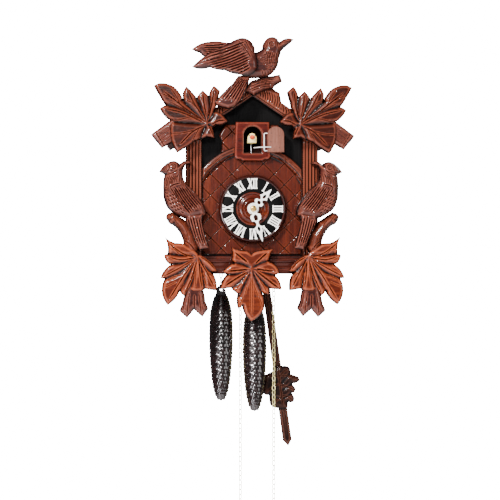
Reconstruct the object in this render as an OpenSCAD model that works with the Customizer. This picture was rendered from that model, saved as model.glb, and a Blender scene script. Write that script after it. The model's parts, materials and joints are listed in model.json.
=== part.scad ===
// Wall clock with a carved front, a bird that calls, two chain weights and a leaf pendulum.
// X is to the right, +Z is up, the front faces -Y and the wall is the plane y = 0.
// The origin is the centre of the hanger's nail hole.

/* [Case] */
// Half width over the side walls
case_half = 70; // [66:1:74]
// Thickness of the side walls
side_t = 8; // [6:1:9]
// Depth from the wall to the back of the front board
case_depth = 92; // [88:1:100]
// Height of the lowest edge of the case below the hanger hole
case_low = 179.4; // [176:0.2:186]
// Slope of the roof, in degrees
roof_pitch = 34; // [32:0.5:36]
// Height of the roof boards' underside at the ridge
ridge_z = 29; // [27:0.5:32]
// Half width over the roof boards
roof_half = 90; // [84:1:92]
// Thickness of the roof boards
roof_t = 7; // [5:0.5:7]
// Outer half width over the front posts
post_half = 76.5; // [74:0.5:80]
// Width of a front post
post_w = 18.5; // [14:0.5:18.5]

/* [Dial and hands] */
// Height of the dial's centre
dial_z = -104.5; // [-106:0.5:-103]
// Outer radius of the wooden dial
dial_r = 39; // [36:0.5:42]
// Length of the minute hand
minute_len = 39.5; // [34:0.5:40]
// Length of the hour hand
hour_len = 31; // [26:0.5:32]
// Minute hand's angle, clockwise from twelve
minute_angle = 164; // [0:1:359]
// Hour hand's angle, clockwise from twelve
hour_angle = 43.6; // [0:0.1:359]

/* [Weights and pendulum] */
// Length of a cone weight
cone_len = 126; // [115:1:130]
// Largest radius of a cone weight
cone_r = 13.9; // [12:0.1:13.9]
// Height of the top of the strike weight
strike_top = -194; // [-200:1:-192]
// Height of the top of the time weight
time_top = -207; // [-214:1:-196]
// Pitch radius of the chain wheels
sprocket_r = 11.5; // [11:0.1:12]
// Height of the free ends of the chains
chain_end_z = -462; // [-480:1:-430]
// Distance from the pendulum's axis to its lowest point
pendulum_len = 304; // [280:1:306]
// Pendulum's tilt to the right of vertical
pendulum_tilt = 8; // [0:0.5:10]

/* [Bird and door] */
// Half width of the bird's opening
opening_half = 10.25; // [10:0.05:10.6]
// Height of the top of the bird's opening
opening_top = -9.6; // [-12:0.1:-9]
// Height of the sill of the bird's opening
opening_sill = -40.3; // [-41:0.1:-38]
// Angle by which the bird's door stands open
door_open = 172; // [150:1:175]

/* [Hidden] */
fine = 48;
coarse = 20;

// Depths, from the wall forwards.
board_y = -case_depth;
board_t = 3;
plate_y = board_y - board_t;
plate_t = 5;
dial_y = plate_y - plate_t;

// Front view positions of the arbors, as [x, z].
center = [0, dial_z];
time_arbor = [20, -120];
strike_arbor = [-20, -120];
third_arbor = [-10.6, -89.2];
escape_arbor = [1.5, -77];
swing_arbor = [9.9, -88];
motion_arbor = [0, dial_z - 14];
back_plate_y = -30;
front_plate_y = -60;
brass_t = 1.5;
pivot_r = 1;
pivot_gap = 0.05;

// Fronts of the trim along the gable and of the leaves on it.
trim_y = board_y - 18;
leaf_y = trim_y - 10;

// The bird: the pin of its arm and the place of its post, as [x, y].
arm_pivot = [-30, -84];
bird_at = [0, -88];
bird_low = -29;
door_hinge = [13.3, -105.2];

// Chains.
chain_y = -46;
chain_w = 5;
chain_t = 2.4;
slot_half = 4.6;
inner_half = case_half - side_t;
front_half = post_half - post_w;
wood = "#5a2d16";
dark_wood = "#3a1c10";
brass = "#b08d45";

// Front view shapes: draws in X and Z, and extrudes backwards from the depth front.
module panel(front, thick) {
    translate([0, front + thick, 0]) rotate([90, 0, 0]) linear_extrude(thick) children();
}

// A round bar along Y, from the depth front backwards.
module bar(at, front, len, r) {
    panel(front, len) translate(at) circle(r, $fn = fine);
}

module flip(side) {
    if (side < 0) mirror([1, 0, 0]) children();
    else children();
}

function roof_at(x) = ridge_z - abs(x) * tan(roof_pitch);
function heading(a, b) = atan2(b[1] - a[1], b[0] - a[0]);
function distance(a, b) = norm(b - a);

// --- Case -------------------------------------------------------------------------------------

module side_wall(side) {
    outer = case_half;
    inner = inner_half;
    cleat_t = 10;
    color(wood) flip(side) {
        panel(board_y, case_depth)
            polygon([[inner, -case_low], [outer, -case_low], [outer, roof_at(outer)], [inner, roof_at(inner)]]);
        // The cleats that the movement's ears rest on.
        for (z = [-78, -136])
            translate([inner - cleat_t, front_plate_y - brass_t - cleat_t, z - 7]) cube([cleat_t, cleat_t, 14]);
    }
}

// The left wall also carries the bracket and the pin that the bird's arm turns on.
module left_side() {
    side_wall(-1);
    color(wood) translate([-inner_half, arm_pivot[1] - 4, -56]) cube([inner_half + arm_pivot[0] + 4, 8, 6]);
    color(brass) translate([arm_pivot[0], arm_pivot[1], -50]) cylinder(r = 1, h = 10, $fn = fine);
}

module right_side() { side_wall(1); }

floor_t = 6;
floor_low = -case_low + 3;
door_pin = [57, -4.5];
door_pin_r = 1.1;
door_pin_gap = 0.05;

module bottom_board() {
    color(wood) difference() {
        translate([-inner_half, board_y, floor_low]) cube([2 * inner_half, case_depth, floor_t]);
        for (at = [strike_arbor, time_arbor])
            for (side = [-1, 1])
                translate([at[0] + side * sprocket_r, chain_y, floor_low - 1])
                    cylinder(r = slot_half, h = floor_t + 2, $fn = fine);
        // The slot that the pendulum swings in, and the seat of the rear door.
        translate([-13, -26.5, floor_low - 1]) cube([46, 12, floor_t + 2]);
        translate([door_pin[0], door_pin[1], floor_low + 1]) cylinder(r = door_pin_r + door_pin_gap, h = floor_t, $fn = fine);
    }
}

module roof_board(side) {
    rise = roof_t / cos(roof_pitch);
    out = roof_t * sin(roof_pitch);
    up = roof_t * cos(roof_pitch);
    color(wood) flip(side) panel(board_y - 12, case_depth + 12)
        polygon([[0, ridge_z], [roof_half, roof_at(roof_half)],
                 [roof_half + out, roof_at(roof_half) + up], [0, ridge_z + rise]]);
}

module left_roof_board() { roof_board(-1); }
module right_roof_board() { roof_board(1); }

rail_low = -34;
rail_t = 8;

module back_rail() {
    color(wood) difference() {
        panel(-rail_t, rail_t)
            polygon([[-inner_half, rail_low], [inner_half, rail_low], [inner_half, roof_at(inner_half)],
                     [0, ridge_z], [-inner_half, roof_at(inner_half)]]);
        // Room for the nail's head behind the hanger, and the seat that the hanger is let into.
        panel(-rail_t - 1, rail_t + 2) circle(9, $fn = fine);
        panel(-1.2, 2.2) translate([-16, -14]) square([32, 28]);
        translate([door_pin[0], door_pin[1], rail_low - 1]) cylinder(r = door_pin_r + door_pin_gap, h = 5, $fn = fine);
    }
}

module hanger_plate() {
    color(brass) difference() {
        panel(-1.2, 1.2) translate([-15.8, -13.8]) square([31.6, 27.6]);
        panel(-2, 3) circle(3.5, $fn = fine);
        for (side = [-1, 1]) panel(-2, 3) translate([side * 12.5, 0]) circle(1.6, $fn = fine);
    }
}

// The board behind the carved front, closed up to the roof.
module front_board() {
    color(dark_wood) difference() {
        panel(plate_y, board_t)
            polygon([[-front_half, ledge_top], [front_half, ledge_top], [front_half, roof_at(front_half)],
                     [0, ridge_z], [-front_half, roof_at(front_half)]]);
        panel(plate_y - 1, board_t + 2) opening_shape(0);
        panel(plate_y - 1, board_t + 2) translate(center) circle(12, $fn = fine);
    }
}

// The bird's opening: straight jambs under a round top.
module opening_shape(grow) {
    half = opening_half + grow;
    spring_z = opening_top - opening_half;
    translate([-half, opening_sill - grow]) square([2 * half, spring_z - opening_sill + grow]);
    translate([0, spring_z]) circle(half, $fn = fine);
}

ledge_top = -158.7;
arch_r = 74;
arch_in = 67;
groove_top = -53.7;
tower_half = 34;

module arch_shape(r) {
    intersection() {
        translate(center) circle(r, $fn = 120);
        translate([-front_half, ledge_top]) square([2 * front_half, 200]);
    }
}

module tower_shape() {
    polygon([[-tower_half, -60], [tower_half, -60], [38, -37.5], [38.5, -25.8], [tower_half, -12], [30, -7],
             [-30, -7], [-tower_half, -12], [-38.5, -25.8], [-38, -37.5]]);
}

// The grooves of the diamond lattice around the dial, at both slants.
module lattice() {
    pitch = 14.5;
    land = 2;
    inside = front_half - land;
    difference() {
        intersection() {
            for (turn = [45, -45])
                for (i = [-5:5])
                    translate(center) rotate(turn) translate([i * pitch - 0.5, -90]) square([1, 180]);
            translate(center) circle(arch_in - 1.6 - land, $fn = 120);
            translate([-inside, ledge_top + land]) square([2 * inside, 200]);
        }
        translate(center) circle(dial_r - land, $fn = 120);
        translate([-23, -52]) square([46, 60]);
    }
}

module front_plate() {
    color(wood) difference() {
        panel(dial_y, plate_t) union() {
            arch_shape(arch_r);
            tower_shape();
        }
        panel(dial_y - 1, plate_t + 2) opening_shape(0);
        panel(dial_y - 1, plate_t + 2) translate(center) circle(12, $fn = fine);
        // The groove inside the arch's rim, up to the tower.
        panel(dial_y - 1, 2.5) difference() {
            translate(center) circle(arch_in, $fn = 120);
            translate(center) circle(arch_in - 1.6, $fn = 120);
            translate([-post_half, groove_top]) square([2 * post_half, 60]);
        }
        panel(dial_y - 1, 1.8) lattice();
    }
}

module front_posts() {
    flutes = 4;
    color(wood) for (side = [-1, 1]) flip(side) difference() {
        panel(board_y - 10, 10)
            polygon([[front_half, -case_low], [post_half, -case_low], [post_half, roof_at(post_half)],
                     [front_half, roof_at(front_half)]]);
        for (i = [1:flutes])
            translate([front_half + i * post_w / (flutes + 1), board_y - 10.8, -case_low + 6])
                cylinder(r = 1.5, h = 200, $fn = coarse);
    }
}

module base_ledge() {
    color(wood) translate([-front_half, 0, 0]) rotate([90, 0, 90]) linear_extrude(2 * front_half)
        polygon([[board_y, -case_low], [board_y - 12, -case_low], [board_y - 12, -171], [board_y - 9.5, -169],
                 [board_y - 9.5, -165.5], [board_y - 11, -164.5], [board_y - 11, ledge_top],
                 [board_y, ledge_top]]);
}

// Two bark covered beams along the front edges of the roof.
module gable_trim() {
    color(wood) for (side = [-1, 1]) flip(side) panel(trim_y, 6)
        polygon([[0, ridge_z - 6], [4, ridge_z - 8], [60, roof_at(60) - 6], [64, roof_at(64) + 3],
                 [60, roof_at(60) + 9], [30, roof_at(30) + 8.5], [3, ridge_z + 9], [0, ridge_z + 9]]);
}

// --- Carvings ---------------------------------------------------------------------------------

// A branch that the top bird stands on.
module top_branch() {
    color(wood) panel(leaf_y, 10)
        polygon([[8, 24], [16, 34], [34, 42.6], [30.5, 50.2], [20, 47.5], [8, 44], [-4, 40], [-12, 30], [-6, 22]]);
}

// Head, body and tail; the tail runs down in front of the branch.
module top_bird() {
    front = leaf_y - 8;
    color(wood) {
        panel(front, 12)
            polygon([[46.6, 90.6], [38.6, 92], [31.3, 87.4], [27, 91.5], [22, 92.8], [17, 91.5], [13.9, 88],
                     [11, 79.4], [3, 74.8], [-8.5, 66.7], [-14.3, 51], [-4, 44.6], [11, 48.6], [22, 51.4],
                     [26, 59.8], [31.3, 73.6], [32.9, 79.4], [37.5, 84]]);
        panel(front, 7.8)
            polygon([[-8.5, 58], [-15.4, 49], [-42.4, 17.3], [-35, 11.5], [-24.6, 15], [-10.8, 32.2],
                     [-3.5, 44]]);
    }
}

// The near wing is in front of the body and the far wing behind it.
module top_bird_wings() {
    color(wood) {
        panel(leaf_y - 14, 6)
            polygon([[2, 62], [1, 76], [-3, 85], [-10.8, 90.3], [-22, 87.5], [-44, 74], [-58, 65], [-69.5, 57.5],
                     [-46.5, 55.2], [-31.5, 54], [-16.6, 48.3], [-6, 54]]);
        panel(leaf_y + 4, 6)
            polygon([[-4, 70], [-14, 87], [-26, 88], [-42, 87.5], [-58, 84.5], [-68.3, 79.4], [-60, 75],
                     [-46, 69], [-20, 64]]);
    }
}

// A five-lobed leaf and the cut end of its branch.
module upper_leaf(side) {
    color(wood) flip(side) panel(leaf_y, 10)
        polygon([[113.2, 34.5], [98.6, 38], [84.4, 31.5], [79.1, 24.5], [74.8, 35.7], [64.2, 25.3],
                 [56.2, 31.5], [50.1, 27.1], [44.2, 36.3], [38, 32.4], [42.2, 6], [29.2, -1.2],
                 [34, -10], [44.2, -22.2], [63.7, -26.5], [76.4, -36.2], [85.8, -39.8], [85.9, -27],
                 [93.3, -30.1], [104.2, -35.4], [110, -28], [115.7, -19.6], [93.6, -3.3], [105.1, 9.5],
                 [99, 13.5], [104, 24]]);
}

module upper_left_leaf() { upper_leaf(-1); }
module upper_right_leaf() { upper_leaf(1); }

// A branch that runs into the lower leaf, and the forked stump under the leaf.
module vine(side) {
    color(wood) flip(side) panel(vine_y, 10) {
        polygon([[89, -108.5], [97, -109.3], [94.8, -118.5], [85.6, -125.4], [79.1, -135.4], [78.7, -148],
                 [63.7, -148], [70, -130], [76.4, -119.6]]);
        polygon([[61.4, -146], [80, -141], [100, -138], [92, -150], [100, -158.4], [93, -166], [104.3, -183.7],
                 [90, -186], [96.7, -214.8], [86, -205], [76.5, -201.3], [60, -203], [45.3, -197.8], [48, -186],
                 [40.3, -176], [50, -160]]);
        polygon([[56.8, -200], [77.5, -200], [77.5, -212], [83.3, -223.1], [74.8, -230], [65.4, -224.9],
                 [54.5, -228.3], [50.3, -219.7], [57, -211]]);
    }
}

vine_y = board_y - 22;

module left_vine() { vine(-1); }
module right_vine() { vine(1); }

// A perched bird: the body stands on the post, and the tail runs down in front of the leaf.
module side_bird(side, shift) {
    color(wood) flip(side) translate([shift, 0, 0]) {
        panel(vine_y - 7, 19)
            polygon([[90.2, -49.5], [97, -53], [107.9, -63.3], [100.5, -66.1], [101, -86.3], [96.6, -100.1],
                     [91, -107.5], [52, -107.5], [60.7, -90.9], [74, -79.4], [82.1, -73.6], [83.3, -62.1],
                     [69.9, -50.3], [76.4, -50.6], [83.3, -54]]);
        panel(vine_y - 7, 6.8)
            polygon([[91, -107.4], [89, -108.8], [78.7, -113], [73.5, -124.2], [63.7, -150.7], [49.9, -149.5],
                     [59.1, -119.6], [48.8, -113.4], [52, -107.4]]);
    }
}

module left_bird() { side_bird(-1, 0); }
module right_bird() { side_bird(1, -4.5); }

module center_leaf() {
    color(wood) panel(vine_y - 2, 12)
        polygon([[-0.5, -157.6], [-10, -153], [-23.5, -150.7], [-22, -165], [-28, -182], [-36.8, -196.3],
                 [-26, -192], [-22.5, -201.3], [-16, -205], [-15, -218.2], [-8, -216], [-1.4, -232.5],
                 [6, -216], [12.1, -214.8], [14, -204], [20.5, -201.3], [23, -192], [33.1, -197.1],
                 [26, -182], [20, -165], [22.2, -150.7], [9, -153]]);
}

// The plain plate around the bird's opening.
module door_surround() {
    color("#6b2f1a") difference() {
        panel(dial_y - 4, 4)
            polygon([[-20.5, -4.6], [20.5, -4.6], [20.5, -40], [19, -44.5], [14, -46], [11, -48.3], [-11, -48.3],
                     [-14, -46], [-19, -44.5], [-20.5, -40]]);
        panel(dial_y - 5, 6) opening_shape(0);
    }
}

// --- Dial and hands ---------------------------------------------------------------------------

ring_out = 35.5;
ring_in = 19.3;
ring_h = 5;

module dial() {
    color("black") translate([0, dial_y, dial_z]) rotate([90, 0, 0]) rotate_extrude($fn = 120)
        polygon([[4, 0], [dial_r, 0], [dial_r, 4], [dial_r - 1.5, 7], [ring_out, 7], [ring_out, ring_h],
                 [ring_in, ring_h], [ring_in, 6.2], [ring_in - 2.5, 6.8], [12, 5.6], [11, 6.4], [4, 5]]);
}

// One stroke of a numeral: from the ring's outer edge to its inner edge, with a serif at each end.
module stroke(lean, w) {
    low = ring_in + 3.2;
    high = ring_out - 0.8;
    mid = (low + high) / 2;
    translate([0, mid]) {
        rotate(lean) translate([-w / 2, low - mid]) square([w, high - low]);
        for (end = [low - mid, high - mid - 0.9])
            translate([-(end + 0.45) * tan(lean) - w / 2 - 0.7, end]) square([w + 1.4, 0.9]);
    }
}

// A numeral from its marks: each is [place along the ring, lean, width], read from the centre.
module numeral(hour, marks) {
    rotate(-30 * hour) for (m = marks) translate([m[0], 0]) stroke(m[1], m[2]);
}

I = 1.2;
V = function (x) [[x - 1.25, 9, 1.5], [x + 1.25, -9, 0.8]];
X = function (x) [[x, 17, 1.5], [x, -17, 0.8]];
HOURS = [
    [[0, 0, I]],
    [[-1.2, 0, I], [1.2, 0, I]],
    [[-2.4, 0, I], [0, 0, I], [2.4, 0, I]],
    [[-3.6, 0, I], [-1.2, 0, I], [1.2, 0, I], [3.6, 0, I]],
    V(0),
    concat(V(-1.2), [[3, 0, I]]),
    concat(V(-2.4), [[1.8, 0, I], [4.2, 0, I]]),
    concat(V(-3.6), [[0.6, 0, I], [3, 0, I], [5.4, 0, I]]),
    concat([[-3.4, 0, I]], X(1)),
    X(0),
    concat(X(-1), [[3.4, 0, I]]),
    concat(X(-2.2), [[2.2, 0, I], [4.6, 0, I]])];

module numerals() {
    color("white") panel(dial_y - ring_h - 1.2, 1.2) translate(center)
        for (h = [1:12]) numeral(h, HOURS[h - 1]);
}

hour_y = -108.6;
minute_y = -110.8;
hand_t = 1.2;
cannon_r = 2;
cannon_bore = 1.25;
hour_pipe_r = 2.9;

// A pierced hand that points up: a hub, two curved arms and a leaf-shaped point.
module hand(length, hub, bore) {
    neck = hub * 1.3;
    wide = hub * 0.62;
    difference() {
        union() {
            circle(hub, $fn = fine);
            polygon([[-1.2, 0], [1.2, 0], [1.2, length * 0.9], [0, length], [-1.2, length * 0.9]]);
            translate([0, neck + 2]) circle(wide, $fn = fine);
            polygon([[-wide, length * 0.62], [0, length * 0.5], [wide, length * 0.62], [0, length * 0.86]]);
        }
        circle(bore, $fn = fine);
        translate([0, neck + 2]) circle(wide * 0.45, $fn = coarse);
    }
}

module minute_hand() {
    color("ivory") panel(minute_y - hand_t, hand_t) translate(center) rotate(-minute_angle)
        hand(minute_len, 5.6, cannon_r);
}

module hour_hand() {
    color("ivory") panel(hour_y - hand_t, hand_t) translate(center) rotate(-hour_angle)
        hand(hour_len, 6.6, hour_pipe_r);
}

// A round nut with a screwdriver slot.
module hand_nut() {
    color(brass) difference() {
        bar(center, minute_y - hand_t - 3, 3, 3.7);
        panel(minute_y - hand_t - 1, 2) translate(center) circle(cannon_r, $fn = fine);
        panel(minute_y - hand_t - 3.1, 1.1) translate([-0.5, dial_z - 5]) square([1, 10]);
    }
}

// --- Movement ---------------------------------------------------------------------------------

plate_half = 40;
plate_low = -146;
plate_top = -62;
pillar_at = [36.5, 4.5];

module arbor_holes(front, len, holes) {
    for (h = holes) panel(front, len) translate(h[0]) circle(h[1], $fn = fine);
}

module movement_back_plate() {
    hole = pivot_r + pivot_gap;
    color(brass) difference() {
        panel(back_plate_y - brass_t, brass_t) translate([-plate_half, plate_low])
            square([2 * plate_half, plate_top - plate_low]);
        arbor_holes(back_plate_y - brass_t - 1, brass_t + 2,
            [[center, hole], [time_arbor, hole], [strike_arbor, hole], [third_arbor, hole],
             [escape_arbor, hole], [swing_arbor, hole], [hammer_arbor, hole]]);
    }
}

// The front plate has four ears, and a stud for the motion wheel.
module movement_front_plate() {
    hole = pivot_r + pivot_gap;
    ear_half = inner_half - 1;
    color(brass) {
        difference() {
            panel(front_plate_y - brass_t, brass_t) {
                translate([-plate_half, plate_low]) square([2 * plate_half, plate_top - plate_low]);
                for (z = [-78, -136]) translate([-ear_half, z - 5]) square([2 * ear_half, 10]);
            }
            arbor_holes(front_plate_y - brass_t - 1, brass_t + 2,
                [[center, 2.3], [time_arbor, hole], [strike_arbor, hole], [third_arbor, hole],
                 [escape_arbor, hole], [swing_arbor, hole]]);
        }
        bar(motion_arbor, front_plate_y - brass_t - 7, 7, pivot_r);
    }
}

module plate_pillars() {
    len = back_plate_y - brass_t - front_plate_y;
    color(brass) for (side = [-1, 1])
        for (z = [plate_low + pillar_at[1], plate_top - pillar_at[1]])
            bar([side * pillar_at[0], z], front_plate_y, len, 2.5);
}

// An arbor between the plates, with a thin pivot at each end.
module arbor(at, r) {
    gap = 0.3;
    rear = back_plate_y - brass_t;
    bar(at, front_plate_y + gap, rear - front_plate_y - 2 * gap, r);
    bar(at, front_plate_y - brass_t, back_plate_y - front_plate_y + brass_t, pivot_r);
}

// A toothed wheel: a tooth points at the angle turn, measured from +X towards +Z.
module gear(teeth, pitch, front, len, at, turn, bore) {
    step = 360 / teeth;
    tip = pitch + 0.5 * PI * pitch / teeth;
    root = pitch - 0.85 * PI * pitch / teeth;
    shape = [for (i = [0:teeth - 1]) for (e = [[-0.26, root], [-0.07, tip], [0.07, tip], [0.26, root]])
        e[1] * [cos(turn + (i + e[0]) * step), sin(turn + (i + e[0]) * step)]];
    panel(front, len) translate(at) difference() {
        polygon(shape);
        if (bore > 0) circle(bore, $fn = fine);
    }
}

// A pair in mesh: the wheel's tooth points at the pinion, and the pinion's gap at the wheel.
function gap_turn(from, to, teeth) = heading(from, to) + 180 / teeth;
function share(a, b, at_a, at_b) = distance(at_a, at_b) * a / (a + b);

great_teeth = 48;
center_leaves = 24;
center_teeth = 90;
third_leaves = 7;
third_teeth = 70;
escape_leaves = 7;
escape_teeth = 30;
cannon_leaves = 12;
motion_teeth = 36;
motion_leaves = 10;
hour_teeth = 40;

module time_great_wheel() {
    color(brass) {
        difference() {
            gear(great_teeth, share(great_teeth, center_leaves, time_arbor, center), -56.5, 2, time_arbor,
                heading(time_arbor, center), 0);
            for (i = [0:4])
                panel(-58, 5) translate(time_arbor + 9.5 * [cos(72 * i), sin(72 * i)]) circle(3.2, $fn = fine);
        }
        arbor(time_arbor, 2);
    }
}

module strike_great_wheel() {
    color(brass) {
        difference() {
            gear(great_teeth, 14.8, -56.5, 2, strike_arbor, 0, 0);
            for (i = [0:4])
                panel(-58, 5) translate(strike_arbor + 8.5 * [cos(72 * i), sin(72 * i)]) circle(2.8, $fn = fine);
        }
        // Pins that lift the hammer's and the bellows' levers.
        for (i = [0:11])
            bar(strike_arbor + 12.8 * [cos(30 * i), sin(30 * i)], -54.5, 2, 0.6);
        arbor(strike_arbor, 2);
    }
}

module center_wheel() {
    color(brass) {
        gear(center_leaves, share(center_leaves, great_teeth, center, time_arbor), -57, 3, center,
            gap_turn(center, time_arbor, center_leaves), 0);
        gear(center_teeth, share(center_teeth, third_leaves, center, third_arbor), -37.5, 1.5, center,
            heading(center, third_arbor), 0);
        bar(center, -112.4, 112.4 + back_plate_y, pivot_r);
        bar(center, front_plate_y + 0.3, 28, 1.2);
    }
}

module third_wheel() {
    color(brass) {
        gear(third_leaves, share(third_leaves, center_teeth, third_arbor, center), -39, 5, third_arbor,
            gap_turn(third_arbor, center, third_leaves), 0);
        gear(third_teeth, share(third_teeth, escape_leaves, third_arbor, escape_arbor), -45.5, 1.5, third_arbor,
            heading(third_arbor, escape_arbor), 0);
        arbor(third_arbor, 0.8);
    }
}

module escape_wheel() {
    r = 9;
    step = 360 / escape_teeth;
    shape = [for (i = [0:escape_teeth - 1]) for (e = [[0, r], [0.12, r], [0.55, r - 1.6]])
        e[1] * [cos((i + e[0]) * step), sin((i + e[0]) * step)]];
    color(brass) {
        gear(escape_leaves, share(escape_leaves, third_teeth, escape_arbor, third_arbor), -47, 5, escape_arbor,
            gap_turn(escape_arbor, third_arbor, escape_leaves), 0);
        panel(-51.2, 1.2) translate(escape_arbor) polygon(shape);
        arbor(escape_arbor, 1.2);
    }
}

module cannon_pinion() {
    color(brass) difference() {
        union() {
            gear(cannon_leaves, share(cannon_leaves, motion_teeth, center, motion_arbor), -64, 1.7, center,
                gap_turn(center, motion_arbor, cannon_leaves), 0);
            bar(center, -112.8, 112.8 - 62.3, cannon_r);
        }
        bar(center, -113, 51, cannon_bore);
    }
}

module motion_wheel() {
    bore = pivot_r + pivot_gap;
    color(brass) {
        gear(motion_teeth, share(motion_teeth, cannon_leaves, motion_arbor, center), -64, 1.7, motion_arbor,
            heading(motion_arbor, center), bore);
        gear(motion_leaves, share(motion_leaves, hour_teeth, motion_arbor, center), -67, 3, motion_arbor,
            gap_turn(motion_arbor, center, motion_leaves), bore);
    }
}

module hour_wheel() {
    color(brass) difference() {
        union() {
            gear(hour_teeth, share(hour_teeth, motion_leaves, center, motion_arbor), -66.2, 1.5, center,
                heading(center, motion_arbor), 0);
            bar(center, hour_y - hand_t, 45, hour_pipe_r);
        }
        bar(center, -111, 50, cannon_r + pivot_gap);
    }
}

// The chain runs between the two discs, over the core.
module chain_wheel(at) {
    color(brass) difference() {
        union() {
            bar(at, chain_y - 6, 12, 9.8);
            for (y = [chain_y - 6, chain_y + 4.5]) bar(at, y, 1.5, 13.5);
        }
        bar(at, chain_y - 7, 14, 2 + pivot_gap);
    }
}

module time_chain_wheel() { chain_wheel(time_arbor); }
module strike_chain_wheel() { chain_wheel(strike_arbor); }

// Arbor, pallets and the crutch behind the back plate.
module pallet_anchor() {
    color("silver") {
        bar(swing_arbor, front_plate_y - brass_t, 40, pivot_r);
        panel(-51.4, 1.6) translate(swing_arbor) difference() {
            union() {
                circle(2.2, $fn = fine);
                rotate(heading(swing_arbor, escape_arbor)) {
                    polygon([[0, 2], [0, -2], [1.5, -9.5], [3.4, -9.5], [3, -2]]);
                    polygon([[0, -2], [0, 2], [1.5, 9.5], [3.4, 9.5], [3, 2]]);
                }
            }
            circle(pivot_r / 2, $fn = coarse);
        }
        hang() {
            panel(-26.5, 1.5) polygon([[-1.5, 1.5], [1.5, 1.5], [1.5, -26], [-1.5, -26]]);
            bar([0, -23.5], -25, 8, 0.8);
        }
    }
}

// --- Pendulum ---------------------------------------------------------------------------------

// Draws about the pendulum's axis, tilted as the pendulum hangs.
module hang() {
    translate([swing_arbor[0], 0, swing_arbor[1]]) rotate([0, -pendulum_tilt, 0]) children();
}

stick_y = -22.5;

module pendulum_stick() {
    top = -19;
    low = -pendulum_len;
    color(dark_wood) hang() difference() {
        panel(stick_y, 4)
            polygon([[-4.6, top], [4.6, top], [5.5, low + 7.5], [0, low], [-5.5, low + 7.5]]);
        bar([0, -23.5], stick_y - 1, 6, 0.8);
    }
}

module pendulum_leaf() {
    z = -229;
    color(dark_wood) hang() panel(stick_y - 4, 4) translate([0, z])
        polygon([[0, 14], [5, 21], [11, 13], [20, 15], [17, 4], [22, -5], [13, -9], [13, -20], [4, -17], [0, -26],
                 [-4, -17], [-13, -20], [-13, -9], [-22, -5], [-17, 4], [-20, 15], [-11, 13], [-5, 21]]);
}

// --- Gong and bellows -------------------------------------------------------------------------

gong_at = [-12, -125];
gong_y = -12;
gong_wire = 1.2;
gong_out = 25;
gong_pitch = 5;
hammer_arbor = [-26, -84];

// A flat coil of half turns, each smaller than the last, on a block.
module gong() {
    turns = 6;
    block = [-40.5, -15, floor_low + floor_t];
    color("#4a4a50") {
        for (i = [0:turns - 1]) {
            r = gong_out - i * gong_pitch / 2;
            up = i % 2 == 0;
            x = gong_at[0] + (up ? 0 : -gong_pitch / 2);
            translate([x, gong_y, gong_at[1]]) rotate([90, 0, 0]) rotate(up ? 0 : 180)
                rotate_extrude(angle = 180, $fn = 96) translate([r, 0]) circle(gong_wire, $fn = 8);
        }
        translate([gong_at[0] - gong_out, gong_y, -160]) cylinder(r = gong_wire, h = -125 + 160, $fn = 8);
    }
    color(dark_wood) difference() {
        translate(block) cube([8, 6, 12]);
        translate([gong_at[0] - gong_out, gong_y, -160]) cylinder(r = gong_wire, h = 5, $fn = 8);
    }
}

module gong_hammer() {
    head = [-12, -94.6];
    color("silver") {
        bar(hammer_arbor, back_plate_y - brass_t, 21.5, pivot_r);
        panel(-13, 2) hull() {
            translate(hammer_arbor) circle(2, $fn = 24);
            translate(head) circle(1, $fn = 24);
        }
        bar(head, -14.5, 5, 3);
    }
}

pipe = [[41, 61.5], [-52, -12], [floor_low + floor_t, -72]];

// Two closed whistle boxes, each with a mouth, under the bellows.
module bellows_pipes() {
    wall = 2.5;
    size = [pipe[0][1] - pipe[0][0], pipe[1][1] - pipe[1][0], pipe[2][1] - pipe[2][0]];
    low = [pipe[0][0], pipe[1][0], pipe[2][0]];
    color("#c9a877") for (side = [-1, 1]) flip(side) difference() {
        translate(low) cube(size);
        translate(low + [wall, wall, wall]) cube(size - 2 * [wall, wall, wall]);
        translate(low + [5, -1, 60]) cube([10, wall + 2, 8]);
    }
}

// The lid of a bellows, hinged along its rear edge.
module bellows_lid(side) {
    color("#c9a877") flip(side)
        translate([pipe[0][0], pipe[1][0], pipe[2][1] + 0.3]) cube([20.5, 40, 3.5]);
}

module left_bellows_lid() { bellows_lid(-1); }
module right_bellows_lid() { bellows_lid(1); }

// --- Bird and door ----------------------------------------------------------------------------

module cuckoo_bird() {
    color("khaki") translate([bird_at[0], bird_at[1], bird_low]) {
        hull() {
            translate([0, -4, 4.6]) scale([0.85, 1.5, 0.9]) sphere(5, $fn = 24);
            translate([0, -9, 8.2]) scale([0.8, 0.9, 0.85]) sphere(4.4, $fn = 24);
        }
        hull() {
            translate([0, 0, 4]) sphere(3, $fn = 16);
            translate([-2, 6, 3]) cube([4, 2, 1]);
        }
    }
    color("orangered") translate([bird_at[0], bird_at[1] - 12, bird_low + 8]) rotate([90, 0, 0])
        cylinder(r1 = 1.5, r2 = 0.3, h = 7, $fn = 24);
}

// Hub, arm and the post that carries the bird.
module cuckoo_arm() {
    turn = heading(arm_pivot, bird_at);
    long = distance(arm_pivot, bird_at);
    color("silver") {
        difference() {
            union() {
                translate([arm_pivot[0], arm_pivot[1], -49.7]) cylinder(r = 3, h = 9.7, $fn = fine);
                translate([arm_pivot[0], arm_pivot[1], -43]) rotate(turn) translate([0, -1.5, 0])
                    cube([long + 1, 3, 3]);
            }
            translate([arm_pivot[0], arm_pivot[1], -51]) cylinder(r = 1 + pivot_gap, h = 12, $fn = fine);
        }
        translate([bird_at[0], bird_at[1], -40]) cylinder(r = 0.8, h = bird_low + 40 + 1.5, $fn = fine);
    }
}

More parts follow.
